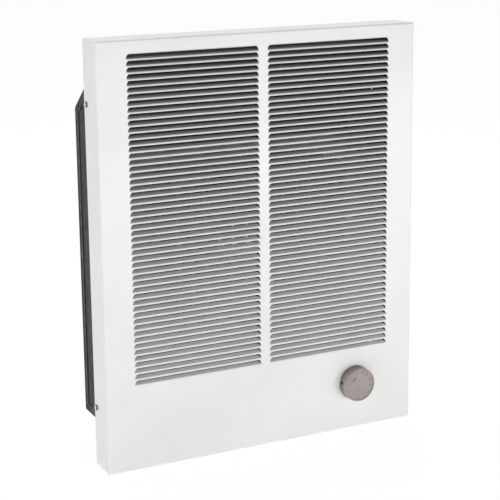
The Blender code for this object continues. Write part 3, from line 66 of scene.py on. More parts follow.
# The cover's sizes, as its solid has them.
COVER_HALF = 0.206375
COVER_FOOT = -0.026
COVER_TOP = 0.482
COVER_FRONT = -0.040
COVER_SHEET = 0.0012
COVER_BEND = 0.0025
SLOT_PITCH = 0.00747
SLOT_HEIGHT = 0.00543
SLOT_CORNER = 0.004
SLOT_ROWS = 52
TOP_SLOT = 0.46027
COLUMN_HALF = 0.0822375
COLUMN_CENTRES = (-0.0880375, 0.0880375)
BLADE_ANGLE = math.radians(57)
BLADE_BEND = 0.0015
BLADE_BEND_STEPS = 5
BLADE_SHARES = (0.2, 0.4, 0.6, 0.75, 0.87, 0.95, 1.0)
BLADE_END_GAP = 0.0003
COVER_BEND_STEPS = 6
KNOB_HOLE_CENTRE = (0.125, 0.0342)
KNOB_HOLE_RADIUS = 0.0085
KNOB_HOLE_STEPS = 48
SCREW_HOLES = ((-0.007, 0.048), (-0.007, 0.408))
SCREW_HOLE_RADIUS = 0.0021
SCREW_HOLE_STEPS = 24

# The knob and its marks. Angles are measured from the right, anticlockwise as seen from the room.
KNOB_BASE = (0.125, -0.0408, 0.0342)
KNOB_HEIGHT = 0.0125
KNOB_BASE_RADIUS = 0.0219
KNOB_TOP_RADIUS = 0.0214
KNOB_EDGE = 0.0008
KNOB_FOOT_EDGE = 0.0003
KNOB_NICK = 0.0001
KNOB_WALL = 0.002
KNOB_TOP_WALL = 0.0022
KNOB_BOSS_RADIUS = 0.0075
KNOB_BOSS_RECESS = 0.0024
KNOB_BORE = 0.00323
KNOB_RIM = 0.0193
KNOB_FACE_RADIUS = 0.0187
KNOB_FACE_RECESS = 0.0004
KNOB_GROOVE = 0.0008
KNOB_STEPS = 144
SET_SCREW_HOLE = 0.00195
SET_SCREW_BORE = (0.001, 0.024)
SET_SCREW_BORE_STEPS = 32
SET_SCREW_TURN = math.radians(170)
SET_SCREW_AIM = (math.cos(SET_SCREW_TURN), 0.0, math.sin(SET_SCREW_TURN))
SET_SCREW_MIDDLE = (0.125, -0.0456, 0.0342)
FIGURE_RING = 0.0160
FIGURE_SIZE = 0.0046
FIGURE_RELIEF = 0.0003
FIGURE_SINK = 0.00005
FIRST_FIGURE = math.radians(138)
FIGURE_STEP = math.radians(-29.5)
FIGURES = "123456789"
ARROW_RING = 0.0117
ARROW_FROM = math.radians(153)
ARROW_TO = math.radians(113)
ARROW_STEPS = 10
ARROW_WIDTH = 0.0013
ARROW_HEAD_LENGTH = 0.0030
ARROW_HEAD_WIDTH = 0.00312

# The screws in the cover's sides, as their solids have them, and the cross recess in each head. The
# shank is given in (radius, height), and the recess's mouth and foot in (length, width).
HEAD_RADIUS = 0.00345
HEAD_BASE = 0.20640
HEAD_TOP = 0.20877
HEAD_FOOT_EDGE = 0.0002
HEAD_CROWN_EDGE = 0.0013
HEAD_CROWN_FLAT = 0.35
HEAD_CROWN_DROP = 0.00002
HEAD_STEPS = 48
SHANK = ((0, -0.0070), (0.0012, -0.0070), (0.0019, -0.0055), (0.0019, 0))
RECESS_DEPTH = 0.0011
RECESS_FOOT = (0.0022, 0.0005)
RECESS_MOUTH = (0.0044, 0.0009)
RECESS_TURN = 0.4
CUT_CLEARANCE = 0.001

# The can's side outline in (depth, height), from its front foot round to its front top, and the flanges
# of its wrapper, which lap over the side walls and are spot-welded to them. The bowl of a weld is given
# in shares of (radius, depth).
CAN_HALF = 0.1825
CAN_OUTLINE = ((0.0015, 0.006), (0.100, 0.006), (0.100, 0.389), (0.022, 0.450), (0.0015, 0.450))
FLANGE_WIDTH = 0.0115
FLANGE_SHEET = 0.0009
FLANGE_INSET = 0.0005
FLANGE_GAP = 0.0007
FLANGE_BURIED = 0.00005
FLANGE_EDGE = 0.0002
WELD_SPACING = 0.058
WELD_RADIUS = 0.0027
WELD_DEPTH = 0.0007
WELD_BOWL = ((1.0, 0.0), (0.72, 0.55), (0.5, 0.9))
WELD_STEPS = 20

# How near the corners of a solid's loose triangles are joined, from which turn an edge is shaded
# sharp, and how near two points of a new mesh count as one.
JOIN_DISTANCE = 0.00001
SHARP_ANGLE = math.radians(32)
SAME_POINT = 0.000001

# The edge radius that shows on each finish's solids.
EDGE_RADII = {
    "white_enamel": 0.00025,
    "dark_enamel": 0.00025,
    "galvanised_steel": 0.00015,
    "taupe_plastic": 0.0006,
    "phenolic": 0.0005,
    "nylon": 0.0004,
    "porcelain": 0.0004,
    "die_cast_zinc": 0.0005,
}
FINE_EDGE = 0.0001


class Finish:
    """A procedural material. Its textures lie in the object's own space, in metres."""

    def __init__(self, name, **sockets):
        self.material = bpy.data.materials.new(name)
        self.material.use_nodes = True
        self.tree = self.material.node_tree
        self.tree.nodes.clear()
        output = self.tree.nodes.new("ShaderNodeOutputMaterial")
        self.shader = self.tree.nodes.new("ShaderNodeBsdfPrincipled")
        self.link(self.shader.outputs["BSDF"], output.inputs["Surface"])
        places = self.tree.nodes.new("ShaderNodeTexCoord").outputs
        self.point, self.normal = places["Object"], places["Normal"]
        self.set(**sockets)

    def link(self, start, end):
        self.tree.links.new(start, end)

    def give(self, socket, value):
        """Puts a number or another node's output on an input socket."""
        if isinstance(value, bpy.types.NodeSocket):
            self.link(value, socket)
        elif isinstance(value, tuple) and len(value) == 3 and socket.type == "RGBA":
            socket.default_value = (*value, 1.0)
        else:
            socket.default_value = value

    def set(self, **sockets):
        """Gives the shader's sockets their values. Each is named in lower case with underscores."""
        for name, value in sockets.items():
            self.give(self.shader.inputs[name.replace("_", " ").title().replace("Ior", "IOR")], value)

    def stretched(self, x, y, z):
        """The place, scaled along each axis, so that features grow along the axis with the least scale."""
        mapping = self.tree.nodes.new("ShaderNodeMapping")
        mapping.inputs["Scale"].default_value = (x, y, z)
        self.link(self.point, mapping.inputs["Vector"])
        return mapping.outputs["Vector"]

    def noise(self, size, detail=2.0, roughness=0.5, point=None, distortion=0.0):
        """Soft noise with features about as long as size."""
        node = self.tree.nodes.new("ShaderNodeTexNoise")
        node.inputs["Scale"].default_value = 1.0 / size
        node.inputs["Detail"].default_value = detail
        node.inputs["Roughness"].default_value = roughness
        node.inputs["Distortion"].default_value = distortion
        self.link(point or self.point, node.inputs["Vector"])
        return node.outputs["Fac"]

    def uneven(self, size, detail, low=0.0, high=1.0):
        """Soft noise, spread between two values."""
        return self.spread(self.noise(size, detail), 0.3, 0.7, low, high)

    def cells(self, size, output="Distance", feature="F1", point=None):
        node = self.tree.nodes.new("ShaderNodeTexVoronoi")
        node.feature = feature
        node.inputs["Scale"].default_value = 1.0 / size
        self.link(point or self.point, node.inputs["Vector"])
        return node.outputs[output]

    def stripes(self, pitch, direction, distortion=0.0, detail=2.0, point=None):
        node = self.tree.nodes.new("ShaderNodeTexWave")
        node.bands_direction = direction
        node.inputs["Scale"].default_value = math.pi / 10 / pitch
        node.inputs["Distortion"].default_value = distortion
        node.inputs["Detail"].default_value = detail
        self.link(point or self.point, node.inputs["Vector"])
        return node.outputs["Fac"]

    def spread(self, value, start, end, low=0.0, high=1.0):
        """value from start to end becomes low to high, and stays there beyond."""
        node = self.tree.nodes.new("ShaderNodeMapRange")
        node.interpolation_type = "SMOOTHSTEP"
        self.link(value, node.inputs["Value"])
        limits = {"From Min": start, "From Max": end, "To Min": low, "To Max": high}
        for socket, number in limits.items():
            node.inputs[socket].default_value = number
        return node.outputs["Result"]

    def number(self, operation, first, second):
        node = self.tree.nodes.new("ShaderNodeMath")
        node.operation = operation
        self.give(node.inputs[0], first)
        self.give(node.inputs[1], second)
        return node.outputs["Value"]

    def times(self, first, second):
        return self.number("MULTIPLY", first, second)

    def plus(self, first, second):
        return self.number("ADD", first, second)

    def vector(self, operation, first, second=(0.0, 0.0, 0.0), output="Vector"):
        node = self.tree.nodes.new("ShaderNodeVectorMath")
        node.operation = operation
        self.give(node.inputs[0], first)
        self.give(node.inputs[1], second)
        return node.outputs[output]

    def mix(self, factor, first, second):
        node = self.tree.nodes.new("ShaderNodeMix")
        node.data_type = "RGBA"
        self.give(node.inputs["Factor"], factor)
        self.give(node.inputs["A"], first)
        self.give(node.inputs["B"], second)
        return node.outputs["Result"]

    def part(self, axis, vector=None):
        """The place along one of the axes, or another vector's part along it."""
        split = self.tree.nodes.new("ShaderNodeSeparateXYZ")
        self.link(vector or self.point, split.inputs[0])
        return split.outputs[axis]

    def along(self, axis, start, end, low=0.0, high=1.0):
        """spread() of the place along one of the axes."""
        return self.spread(self.part(axis), start, end, low, high)

    def facing_up(self):
        """0 on walls and undersides to 1 on level tops."""
        return self.spread(self.part("Z", self.normal), 0.25, 0.95)

    def axis_distance(self, middle, aim):
        """How far a point is from the line through middle along aim."""
        offset = self.vector("SUBTRACT", self.point, middle)
        across = self.vector("CROSS_PRODUCT", offset, aim)
        return self.vector("LENGTH", across, output="Value")

    def beyond(self, middle, aim, start, end):
        """spread() of how far a point is from middle towards aim."""
        offset = self.vector("SUBTRACT", self.point, middle)
        return self.spread(self.vector("DOT_PRODUCT", offset, aim, "Value"), start, end)

    def bump(self, height, distance, strength=1.0):
        """Adds a relief, in metres, to what is there already."""
        node = self.tree.nodes.new("ShaderNodeBump")
        node.inputs["Distance"].default_value = distance
        node.inputs["Strength"].default_value = strength
        self.link(height, node.inputs["Height"])
        normal = self.shader.inputs["Normal"]
        if normal.is_linked:
            self.link(normal.links[0].from_socket, node.inputs["Normal"])
        self.link(node.outputs["Normal"], normal)


def white_enamel():
    """Baked powder enamel: a fine orange peel, slow unevenness and a few pinholes, with painted shade in
    the louvres.
    """
    f = Finish("white_enamel", ior=1.5, coat_weight=0.12, coat_roughness=0.25)
    slow = f.uneven(0.09, 3.0)
    colour = f.mix(slow, (0.795, 0.800, 0.790), (0.835, 0.838, 0.828))
    pinhole = f.spread(f.cells(0.009), 0.0, 0.035, 1.0, 0.0)
    colour = f.mix(pinhole, colour, (0.66, 0.66, 0.64))
    # Painted shade in the louvres darkens the enamel on the lands, their bends and the blades.
    colour = f.mix(painted_louvre_shade(f), colour, (0.092, 0.085, 0.076))
    f.set(base_color=colour)
    f.set(roughness=f.uneven(0.004, 3.0, 0.34, 0.46))
    f.bump(f.noise(0.0016, 2.0, 0.45), 0.000016)
    f.bump(f.noise(0.03, 1.0), 0.00012)
    return f.material


def painted_louvre_shade(f):
    """Painted shade in the louvres: a little on the lands, more down the blades and higher up."""
    across = f.number("ABSOLUTE", f.part("X"), 0.0)
    inside = f.spread(across, 0.172, 0.176, 1.0, 0.0)
    column = f.times(f.spread(across, 0.0062, 0.0082), f.spread(across, 0.1678, 0.1700, 1.0, 0.0))
    rows = f.times(f.along("Z", 0.0765, 0.0785), f.along("Z", 0.4660, 0.4675, 1.0, 0.0))
    lowest, highest = 0.08, 0.46
    land = f.times(column, f.along("Z", lowest, highest, 0.06, 0.24))
    bend = f.along("Y", COVER_FRONT, COVER_FRONT + 0.00038, 0.0, 0.40)
    bend = f.times(bend, f.along("Z", lowest, highest, 0.20, 1.0))
    blade = f.along("Y", COVER_FRONT + 0.0007, COVER_FRONT + 0.0044, 0.0, 0.50)
    blade = f.times(blade, f.along("Z", 0.20, 0.45))
    return f.times(f.times(inside, rows), f.plus(land, f.plus(bend, blade)))


def dark_enamel():
    """Dark satin enamel over sheet steel, rubbed here and there, with dust on what faces up."""
    f = Finish("dark_enamel", ior=1.45, specular_ior_level=0.15)
    blotch = f.spread(f.noise(0.09, 3.0, 0.5), 0.3, 0.7)
    colour = f.mix(blotch, (0.030, 0.0295, 0.029), (0.041, 0.040, 0.038))
    streak = f.spread(f.noise(0.004, 4.0, 0.65, f.stretched(1.0, 1.0, 0.06)), 0.62, 0.80)
    colour = f.mix(f.times(streak, 0.45), colour, (0.060, 0.058, 0.056))
    rub = f.spread(f.noise(0.010, 5.0, 0.7, f.stretched(1.0, 0.35, 2.6)), 0.66, 0.82)
    colour = f.mix(rub, colour, (0.068, 0.066, 0.063))
    dust = f.times(f.facing_up(), f.spread(f.noise(0.035, 5.0, 0.6), 0.30, 0.75, 0.20, 0.60))
    colour = f.mix(dust, colour, (0.115, 0.111, 0.104))
    f.set(base_color=colour)
    f.set(roughness=f.uneven(0.01, 4.0, 0.42, 0.60))
    f.bump(f.noise(0.0010, 3.0, 0.6), 0.000020)
    return f.material


def galvanised_steel():
    """Hot-dipped sheet: spangles that each tilt a little, and rolling lines, with painted shade near the
    front and high up.
    """
    f = Finish("galvanised_steel", metallic=0.9)
    bent = f.noise(0.006, 2.0)
    spangle = f.cells(0.0085, "Color")
    shade = f.tree.nodes.new("ShaderNodeSeparateColor")
    f.link(spangle, shade.inputs["Color"])
    grain = f.times(shade.outputs["Red"], bent)
    colour = f.mix(f.spread(grain, 0.05, 0.55), (0.22, 0.225, 0.23), (0.36, 0.37, 0.375))
    stain = f.spread(f.noise(0.04, 4.0, 0.65), 0.60, 0.78)
    colour = f.mix(stain, colour, (0.29, 0.295, 0.29))
    # Painted shade: the sheet is darkened, patchily, near the front and high up, where the inside is seen
    # through the louvres.
    front = f.along("Y", -0.031, 0.006, 1.0, 0.0)
    above = f.along("Z", 0.312, 0.328, 0.0, 0.85)
    patchy = f.spread(f.noise(0.02, 4.0, 0.6), 0.2, 0.6, 0.80, 1.0)
    painted_inner_shade = f.times(f.number("MAXIMUM", front, above), patchy)
    colour = f.mix(painted_inner_shade, colour, (0.075, 0.066, 0.058))
    f.set(base_color=colour)
    f.set(roughness=f.spread(shade.outputs["Green"], 0.0, 1.0, 0.34, 0.52))
    f.bump(f.cells(0.0085, "Distance", "DISTANCE_TO_EDGE"), 0.00003, 0.4)
    f.bump(f.noise(0.0012, 3.0, 0.6, f.stretched(1.0, 1.0, 0.1)), 0.000012)
    return f.material


def zinc():
    """Bright zinc plating on small fasteners."""
    f = Finish("zinc", metallic=0.95)
    cloud = f.uneven(0.003, 3.0)
    f.set(base_color=f.mix(cloud, (0.46, 0.46, 0.46), (0.60, 0.595, 0.58)))
    f.set(roughness=f.uneven(0.0012, 3.0, 0.24, 0.38))
    f.bump(f.noise(0.0005, 2.0), 0.000012)
    return f.material


def plated_head():
    """The cover screws' plating: bright on the crown, with painted shade round the rim."""
    f = Finish("plated_head", metallic=0.9)
    cloud = f.uneven(0.0015, 3.0)
    colour = f.mix(cloud, (0.62, 0.62, 0.62), (0.78, 0.775, 0.76))
    # Painted shade on the side of each head, round its rim.
    lower, upper = (f.axis_distance((0.0, y, z), (1.0, 0.0, 0.0)) for y, z in SCREW_HOLES)
    rim = f.spread(f.number("MINIMUM", lower, upper), HEAD_RADIUS * 0.68, HEAD_RADIUS * 0.94)
    colour = f.mix(rim, colour, (0.15, 0.147, 0.145))
    f.set(base_color=colour)
    f.set(roughness=f.uneven(0.0012, 3.0, 0.26, 0.40))
    f.bump(f.noise(0.0005, 2.0), 0.000012)
    return f.material


def aluminium():
    """Pressed aluminium sheet with fine rolling lines and faint die marks."""
    f = Finish("aluminium", metallic=1.0)
    grain = f.noise(0.0014, 4.0, 0.6, f.stretched(0.08, 1.0, 1.0))
    cloud = f.noise(0.02, 3.0)
    colour = f.mix(f.spread(cloud, 0.3, 0.7), (0.50, 0.505, 0.51), (0.62, 0.62, 0.62))
    f.set(base_color=colour)
    f.set(roughness=f.spread(grain, 0.3, 0.7, 0.30, 0.44))
    f.bump(grain, 0.000018)
    return f.material


def die_cast_zinc():
    """Cast metal: a fine granular skin with flow marks."""
    f = Finish("die_cast_zinc", metallic=0.85)
    flow = f.noise(0.011, 3.0, 0.6, distortion=1.2)
    f.set(base_color=f.mix(f.spread(flow, 0.35, 0.65), (0.40, 0.405, 0.41), (0.52, 0.52, 0.515)))
    f.set(roughness=f.uneven(0.002, 3.0, 0.46, 0.62))
    f.bump(f.noise(0.0007, 3.0, 0.7), 0.00003)
    return f.material


def lamination_steel():
    """A stack of stampings, seen as thin lines along its thickness, with rust bloom and varnish."""
    f = Finish("lamination_steel", metallic=0.7)
    sheets = f.stripes(0.0005, "Y")
    rust = f.spread(f.noise(0.008, 5.0, 0.7), 0.55, 0.75)
    colour = f.mix(f.spread(sheets, 0.1, 0.9), (0.13, 0.13, 0.135), (0.25, 0.25, 0.255))
    colour = f.mix(rust, colour, (0.17, 0.085, 0.045))
    f.set(base_color=colour)
    f.set(roughness=f.spread(rust, 0.0, 1.0, 0.42, 0.75))
    f.bump(sheets, 0.00006)
    return f.material


def steel_shaft():
    """Ground bar: fine rings round its length."""
    f = Finish("steel_shaft", metallic=1.0)
    rings = f.noise(0.0004, 3.0, 0.6, f.stretched(0.1, 1.0, 0.1))
    f.set(base_color=f.mix(f.spread(rings, 0.3, 0.7), (0.52, 0.525, 0.53), (0.66, 0.66, 0.66)))
    f.set(roughness=f.spread(rings, 0.3, 0.7, 0.18, 0.30))
    f.bump(rings, 0.000006)
    return f.material


def bronze():
    """Sintered, oil-soaked bearing metal."""
    f = Finish("bronze", metallic=0.9)
    pores = f.spread(f.cells(0.0006), 0.05, 0.35)
    f.set(base_color=f.mix(pores, (0.20, 0.11, 0.05), (0.50, 0.32, 0.16)))
    f.set(roughness=f.uneven(0.003, 3.0, 0.32, 0.5))
    f.bump(pores, 0.00003)
    return f.material


def element_steel():
    """Steel that has been heated: straw and blue tints and a dull scale."""
    f = Finish("element_steel", metallic=0.8)
    heat = f.noise(0.03, 3.0, 0.6)
    colour = f.mix(f.spread(heat, 0.30, 0.50), (0.14, 0.12, 0.12), (0.23, 0.19, 0.155))
    colour = f.mix(f.spread(heat, 0.52, 0.66), colour, (0.155, 0.165, 0.20))
    scale = f.spread(f.noise(0.0025, 5.0, 0.7), 0.52, 0.72)
    colour = f.mix(scale, colour, (0.085, 0.075, 0.072))
    f.set(base_color=colour)
    f.set(roughness=f.spread(scale, 0.0, 1.0, 0.40, 0.72))
    f.bump(f.noise(0.0008, 4.0, 0.7), 0.00003)
    return f.material


def porcelain():
    """Glazed white ceramic with specks of grog."""
    f = Finish("porcelain", ior=1.52, coat_weight=0.4, coat_roughness=0.08)
    speck = f.spread(f.cells(0.0016), 0.03, 0.12, 1.0, 0.0)
    body = f.mix(f.uneven(0.004, 2.0), (0.74, 0.72, 0.67), (0.80, 0.79, 0.75))
    f.set(base_color=f.mix(speck, body, (0.40, 0.36, 0.30)))
    f.set(roughness=f.uneven(0.002, 2.0, 0.20, 0.32))
    f.bump(f.noise(0.0012, 2.0), 0.00002)
    return f.material


def winding_tape():
    """Varnished tape wound round the coil: overlapping turns with a woven face."""
    f = Finish("winding_tape", ior=1.5, coat_weight=0.25, coat_roughness=0.3)
    turns = f.stripes(0.0052, "Z", 0.6, 2.0)
    threads = f.times(f.stripes(0.0005, "X"), f.stripes(0.0005, "Z"))
    colour = f.mix(f.spread(turns, 0.02, 0.25), (0.20, 0.10, 0.035), (0.50, 0.33, 0.13))
    colour = f.mix(f.spread(f.noise(0.01, 4.0), 0.55, 0.75), colour, (0.30, 0.16, 0.06))
    f.set(base_color=colour)
    f.set(roughness=f.uneven(0.004, 3.0, 0.38, 0.58))
    f.bump(turns, 0.0003)
    f.bump(threads, 0.00005)
    return f.material


def moulding(name, dark, light, grain, roughness, depth):
    """Moulded plastic or resin: flow tones and a fine die texture."""
    f = Finish(name, ior=1.49)
    tone = f.noise(0.012, 4.0, 0.6, distortion=0.6)
    f.set(base_color=f.mix(f.spread(tone, 0.32, 0.68), dark, light))
    f.set(roughness=f.uneven(grain * 4, 3.0, roughness, roughness + 0.12))
    f.bump(f.noise(grain, 2.0, 0.6), depth)
    return f.material


def nylon():
    return moulding("nylon", (0.60, 0.585, 0.53), (0.68, 0.66, 0.60), 0.0009, 0.40, 0.00002)


def phenolic():
    return moulding("phenolic", (0.035, 0.024, 0.018), (0.075, 0.050, 0.036), 0.0007, 0.30, 0.00002)


def taupe_plastic():
    """The knob's moulding: warm grey with a fine grain, with painted shade down its side and in its bore.
    """
    f = Finish("taupe_plastic", ior=1.47)
    tone = f.spread(f.noise(0.010, 4.0, 0.6, distortion=0.5), 0.32, 0.68)
    colour = f.mix(tone, (0.312, 0.278, 0.262), (0.356, 0.318, 0.300))
    dust = f.spread(f.noise(0.0022, 4.0, 0.7), 0.50, 0.72)
    colour = f.mix(f.times(dust, 0.35), colour, (0.250, 0.226, 0.214))
    # Painted shade down the knob's side, deeper towards the cover.
    side = f.spread(f.axis_distance(KNOB_BASE, (0.0, 1.0, 0.0)), 0.0208, 0.0215)
    side = f.times(side, f.along("Y", -0.0518, -0.0440, 0.0, 0.75))
    colour = f.mix(side, colour, (0.150, 0.138, 0.132))
    # Painted shade inside the set screw's hole.
    bore = f.axis_distance(SET_SCREW_MIDDLE, SET_SCREW_AIM)
    bore = f.spread(bore, SET_SCREW_HOLE * 1.02, SET_SCREW_HOLE * 1.12, 1.0, 0.0)
    bore = f.times(bore, f.beyond(SET_SCREW_MIDDLE, SET_SCREW_AIM, 0.004, 0.005))
    colour = f.mix(bore, colour, (0.020, 0.018, 0.017))
    f.set(base_color=colour)
    f.set(roughness=f.uneven(0.0014, 3.0, 0.40, 0.54))
    f.bump(f.noise(0.00045, 2.0, 0.6), 0.00003)
    return f.material


def dial_print():
    """The figures' darker filling, worn by fingers."""
    f = Finish("dial_print", ior=1.47)
    worn = f.spread(f.noise(0.0015, 4.0, 0.7), 0.45, 0.70)
    f.set(base_color=f.mix(worn, (0.175, 0.146, 0.136), (0.265, 0.232, 0.218)))
    f.set(roughness=f.spread(worn, 0.0, 1.0, 0.50, 0.62))
    f.bump(f.noise(0.0004, 2.0, 0.6), 0.00002)
    return f.material


def black_oxide():
    """Blackened steel, worn to grey on its edges."""
    f = Finish("black_oxide", metallic=0.8)
    bloom = f.spread(f.noise(0.003, 4.0, 0.6), 0.35, 0.7)
    colour = f.mix(bloom, (0.030, 0.030, 0.033), (0.060, 0.058, 0.056))
    worn = f.spread(f.noise(0.0009, 4.0, 0.7), 0.60, 0.75)
    f.set(base_color=f.mix(worn, colour, (0.16, 0.16, 0.16)))
    f.set(roughness=f.spread(bloom, 0.0, 1.0, 0.34, 0.55))
    f.bump(f.noise(0.0005, 3.0), 0.00001)
    return f.material


def green_zinc():
    """Green-dyed plating of an earth screw, thin where it was handled."""
    f = Finish("green_zinc", metallic=0.85)
    worn = f.spread(f.noise(0.002, 4.0, 0.65), 0.52, 0.72)
    f.set(base_color=f.mix(worn, (0.03, 0.23, 0.085), (0.23, 0.37, 0.26)))
    f.set(roughness=f.uneven(0.001, 3.0, 0.28, 0.42))
    f.bump(f.noise(0.0006, 2.0), 0.000012)
    return f.material


FINISHES = {
    make.__name__: make()
    for make in (
        white_enamel, dark_enamel, galvanised_steel, zinc, plated_head, aluminium, die_cast_zinc,
        lamination_steel, steel_shaft, bronze, element_steel, porcelain, winding_tape, nylon, phenolic,
        taupe_plastic, dial_print, black_oxide, green_zinc,
    )
}


def shading_group():
    """Joins the loose triangles of a carried-over solid and shades it smooth up to its sharp edges."""
    group = bpy.data.node_groups.new("weld_and_shade", "GeometryNodeTree")
    group.interface.new_socket("Geometry", in_out="INPUT", socket_type="NodeSocketGeometry")
    group.interface.new_socket("Geometry", in_out="OUTPUT", socket_type="NodeSocketGeometry")
    start = group.nodes.new("NodeGroupInput")
    end = group.nodes.new("NodeGroupOutput")
    weld = group.nodes.new("GeometryNodeMergeByDistance")
    weld.inputs["Distance"].default_value = JOIN_DISTANCE
    shade = group.nodes.new("GeometryNodeSetMeshNormal")
    shade.inputs["Remove Custom"].default_value = True
    turn = group.nodes.new("GeometryNodeInputMeshEdgeAngle")
    sharp = group.nodes.new("FunctionNodeCompare")
    sharp.data_type = "FLOAT"
    sharp.operation = "GREATER_THAN"
    sharp.inputs[1].default_value = SHARP_ANGLE
    group.links.new(start.outputs[0], weld.inputs["Geometry"])
    group.links.new(weld.outputs["Geometry"], shade.inputs["Mesh"])
    group.links.new(turn.outputs[0], sharp.inputs[0])
    group.links.new(sharp.outputs[0], shade.inputs["Edge Sharpness"])
    group.links.new(shade.outputs[0], end.inputs[0])
    return group


SHADING = shading_group()


def smooth(thing):
    thing.modifiers.new("shading", "NODES").node_group = SHADING


def shade(thing):
    """Shades a piece smooth up to its sharp edges, with its flats kept flat."""
    smooth(thing)
    flats = thing.modifiers.new("flats", "WEIGHTED_NORMAL")
    flats.weight = 100
    flats.keep_sharp = True


def round_edges(thing, width):
    rounding = thing.modifiers.new("rounded_edges", "BEVEL")
    rounding.width = width
    rounding.segments = 2
    rounding.limit_method = "ANGLE"
    rounding.angle_limit = SHARP_ANGLE
    rounding.harden_normals = True


for node in NODES.values():
    slot = node.material_slots[0].material.name.split(".")[0]
    node.material_slots[0].material = FINISHES[slot]
    smooth(node)
    round_edges(node, EDGE_RADII.get(slot, FINE_EDGE))


def mesh_of(name, shape):
    """The shape as a mesh. The shape itself is used up."""
    mesh = bpy.data.meshes.new(name)
    shape.to_mesh(mesh)
    shape.free()
    return mesh


def piece(name, mesh, finish, body, *nodes, slot=None):
    """Links a mesh as a piece in the given finish that rides on a body and stands for CAD nodes."""
    mesh.materials.clear()
    mesh.materials.append(FINISHES[finish])
    thing = bpy.data.objects.new(name, mesh)
    bpy.context.scene.collection.objects.link(thing)
    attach(thing, body)
    if nodes:
        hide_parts(*nodes)
    return thing


def circle(centre, radius, steps):
    turns = [2 * math.pi * step / steps for step in range(steps)]
    return [(centre[0] + radius * math.cos(a), centre[1] + radius * math.sin(a)) for a in turns]


def arc(centre, radius, start, end, steps):
    """Points of a rounded corner, from one angle in degrees to another."""
    turns = [math.radians(start + (end - start) * step / steps) for step in range(steps + 1)]
    return [(centre[0] + radius * math.cos(a), centre[1] + radius * math.sin(a)) for a in turns]


def strip(shape, near, far, closed=False):
    """Faces between two runs of points, or between two rings. Points that coincide make triangles."""
    pairs = list(zip(near, far))
    if closed:
        pairs.append(pairs[0])
    for (a, d), (b, c) in zip(pairs, pairs[1:]):
        shape.faces.new(tuple(dict.fromkeys((a, b, c, d))))


def blade_profile():
    """(setback, rise, rise of the slot's outline) up a blade, from where it leaves the land to its tip."""
    reach = BLADE_BEND * math.tan(BLADE_ANGLE / 2)
    bend = [BLADE_ANGLE * step / BLADE_BEND_STEPS for step in range(BLADE_BEND_STEPS + 1)]
    points = [(BLADE_BEND * (1 - math.cos(a)), BLADE_BEND * math.sin(a) - reach) for a in bend]
    back, rise = points[-1]
    straight = SLOT_HEIGHT - reach
    for share in BLADE_SHARES:
        points.append((
            back + straight * share * math.sin(BLADE_ANGLE),
            rise + straight * share * math.cos(BLADE_ANGLE),
        ))
    lengths = [0.0]
    for first, second in zip(points, points[1:]):
        lengths.append(lengths[-1] + math.dist(first, second))
    whole = lengths[-1]
    return [
        (setback, up, -reach + length / whole * (SLOT_HEIGHT + reach))
        for (setback, up), length in zip(points, lengths)
    ]


def slot_half_width(rise):
    """Half a slot's width at a height above its foot. Its ends lean in towards the top."""
    share = min(max(rise / SLOT_HEIGHT, 0.0), 1.0)
    return COLUMN_HALF - SLOT_CORNER * (1 - math.sqrt(1 - share**2))


def louvre(shape, centre, foot):
    """One lanced louvre: a blade with free ends. Returns the two points where it leaves the land."""
    rows = []
    for setback, up, rise in blade_profile():
        half = slot_half_width(rise) - BLADE_END_GAP
        ends = [(centre + side * half, COVER_FRONT + setback, foot + up) for side in (-1, 1)]
        rows.append([shape.verts.new(end) for end in ends])
    for lower, upper in zip(rows, rows[1:]):
        strip(shape, lower, upper)
    return rows[0]


def fill_with_holes(shape, loop, holes):
    """Fills a flat outline, leaving round holes, each given as the points round it."""
    edges = []
    for ring in [loop, *[[shape.verts.new(point) for point in hole] for hole in holes]]:
        for first, second in zip(ring, [*ring[1:], ring[0]]):
            edges.append(shape.edges.get((first, second)) or shape.edges.new((first, second)))
    bmesh.ops.triangle_fill(shape, use_beauty=True, edges=edges)


def cover_front(shape):
    """The louvred front up to its bends. Returns its outline, from the lower left round to the left."""
    left, right = -COVER_HALF + COVER_BEND, COVER_HALF - COVER_BEND
    levels = []
    for row in range(SLOT_ROWS - 1, -1, -1):
        foot = TOP_SLOT - row * SLOT_PITCH
        profile = blade_profile()
        rims = []
        for _, _, rise in profile:
            half = slot_half_width(rise)
            ends = [centre + side * half for centre in COLUMN_CENTRES for side in (-1, 1)]
            rims.append([shape.verts.new((x, COVER_FRONT, foot + rise)) for x in (left, *ends, right)])
        firsts = [
            [rims[0][1 + 2 * i], *louvre(shape, centre, foot), rims[0][2 + 2 * i]]
            for i, centre in enumerate(COLUMN_CENTRES)
        ]
        for lower, upper in zip(rims, rims[1:]):
            for i in (0, 2, 4):
                shape.faces.new((lower[i], lower[i + 1], upper[i + 1], upper[i]))
        levels.append((rims, firsts))
    low, high = COVER_FOOT + COVER_BEND, COVER_TOP - COVER_BEND
    stations = [vert.co.x for vert in levels[0][0][0]]
    bottom = [shape.verts.new((x, COVER_FRONT, low)) for x in stations]
    top = [shape.verts.new((vert.co.x, COVER_FRONT, high)) for vert in levels[-1][0][-1]]
    below = bottom
    for rims, firsts in levels:
        above = rims[0]
        for i in range(5):
            edge = firsts[i // 2] if i in (1, 3) else [above[i], above[i + 1]]
            loop = [below[i], below[i + 1], *reversed(edge)]
            if below is bottom and i == 3:
                hole = circle(KNOB_HOLE_CENTRE, KNOB_HOLE_RADIUS, KNOB_HOLE_STEPS)
                fill_with_holes(shape, loop, [[(x, COVER_FRONT, z) for x, z in hole]])
            else:
                shape.faces.new(loop)
        below = rims[-1]
    strip(shape, below, top)
    right_side = [bottom[-1]] + [rim[-1] for rims, _ in levels for rim in rims] + [top[-1]]
    left_side = [bottom[0]] + [rim[0] for rims, _ in levels for rim in rims] + [top[0]]
    return bottom, right_side, top, left_side


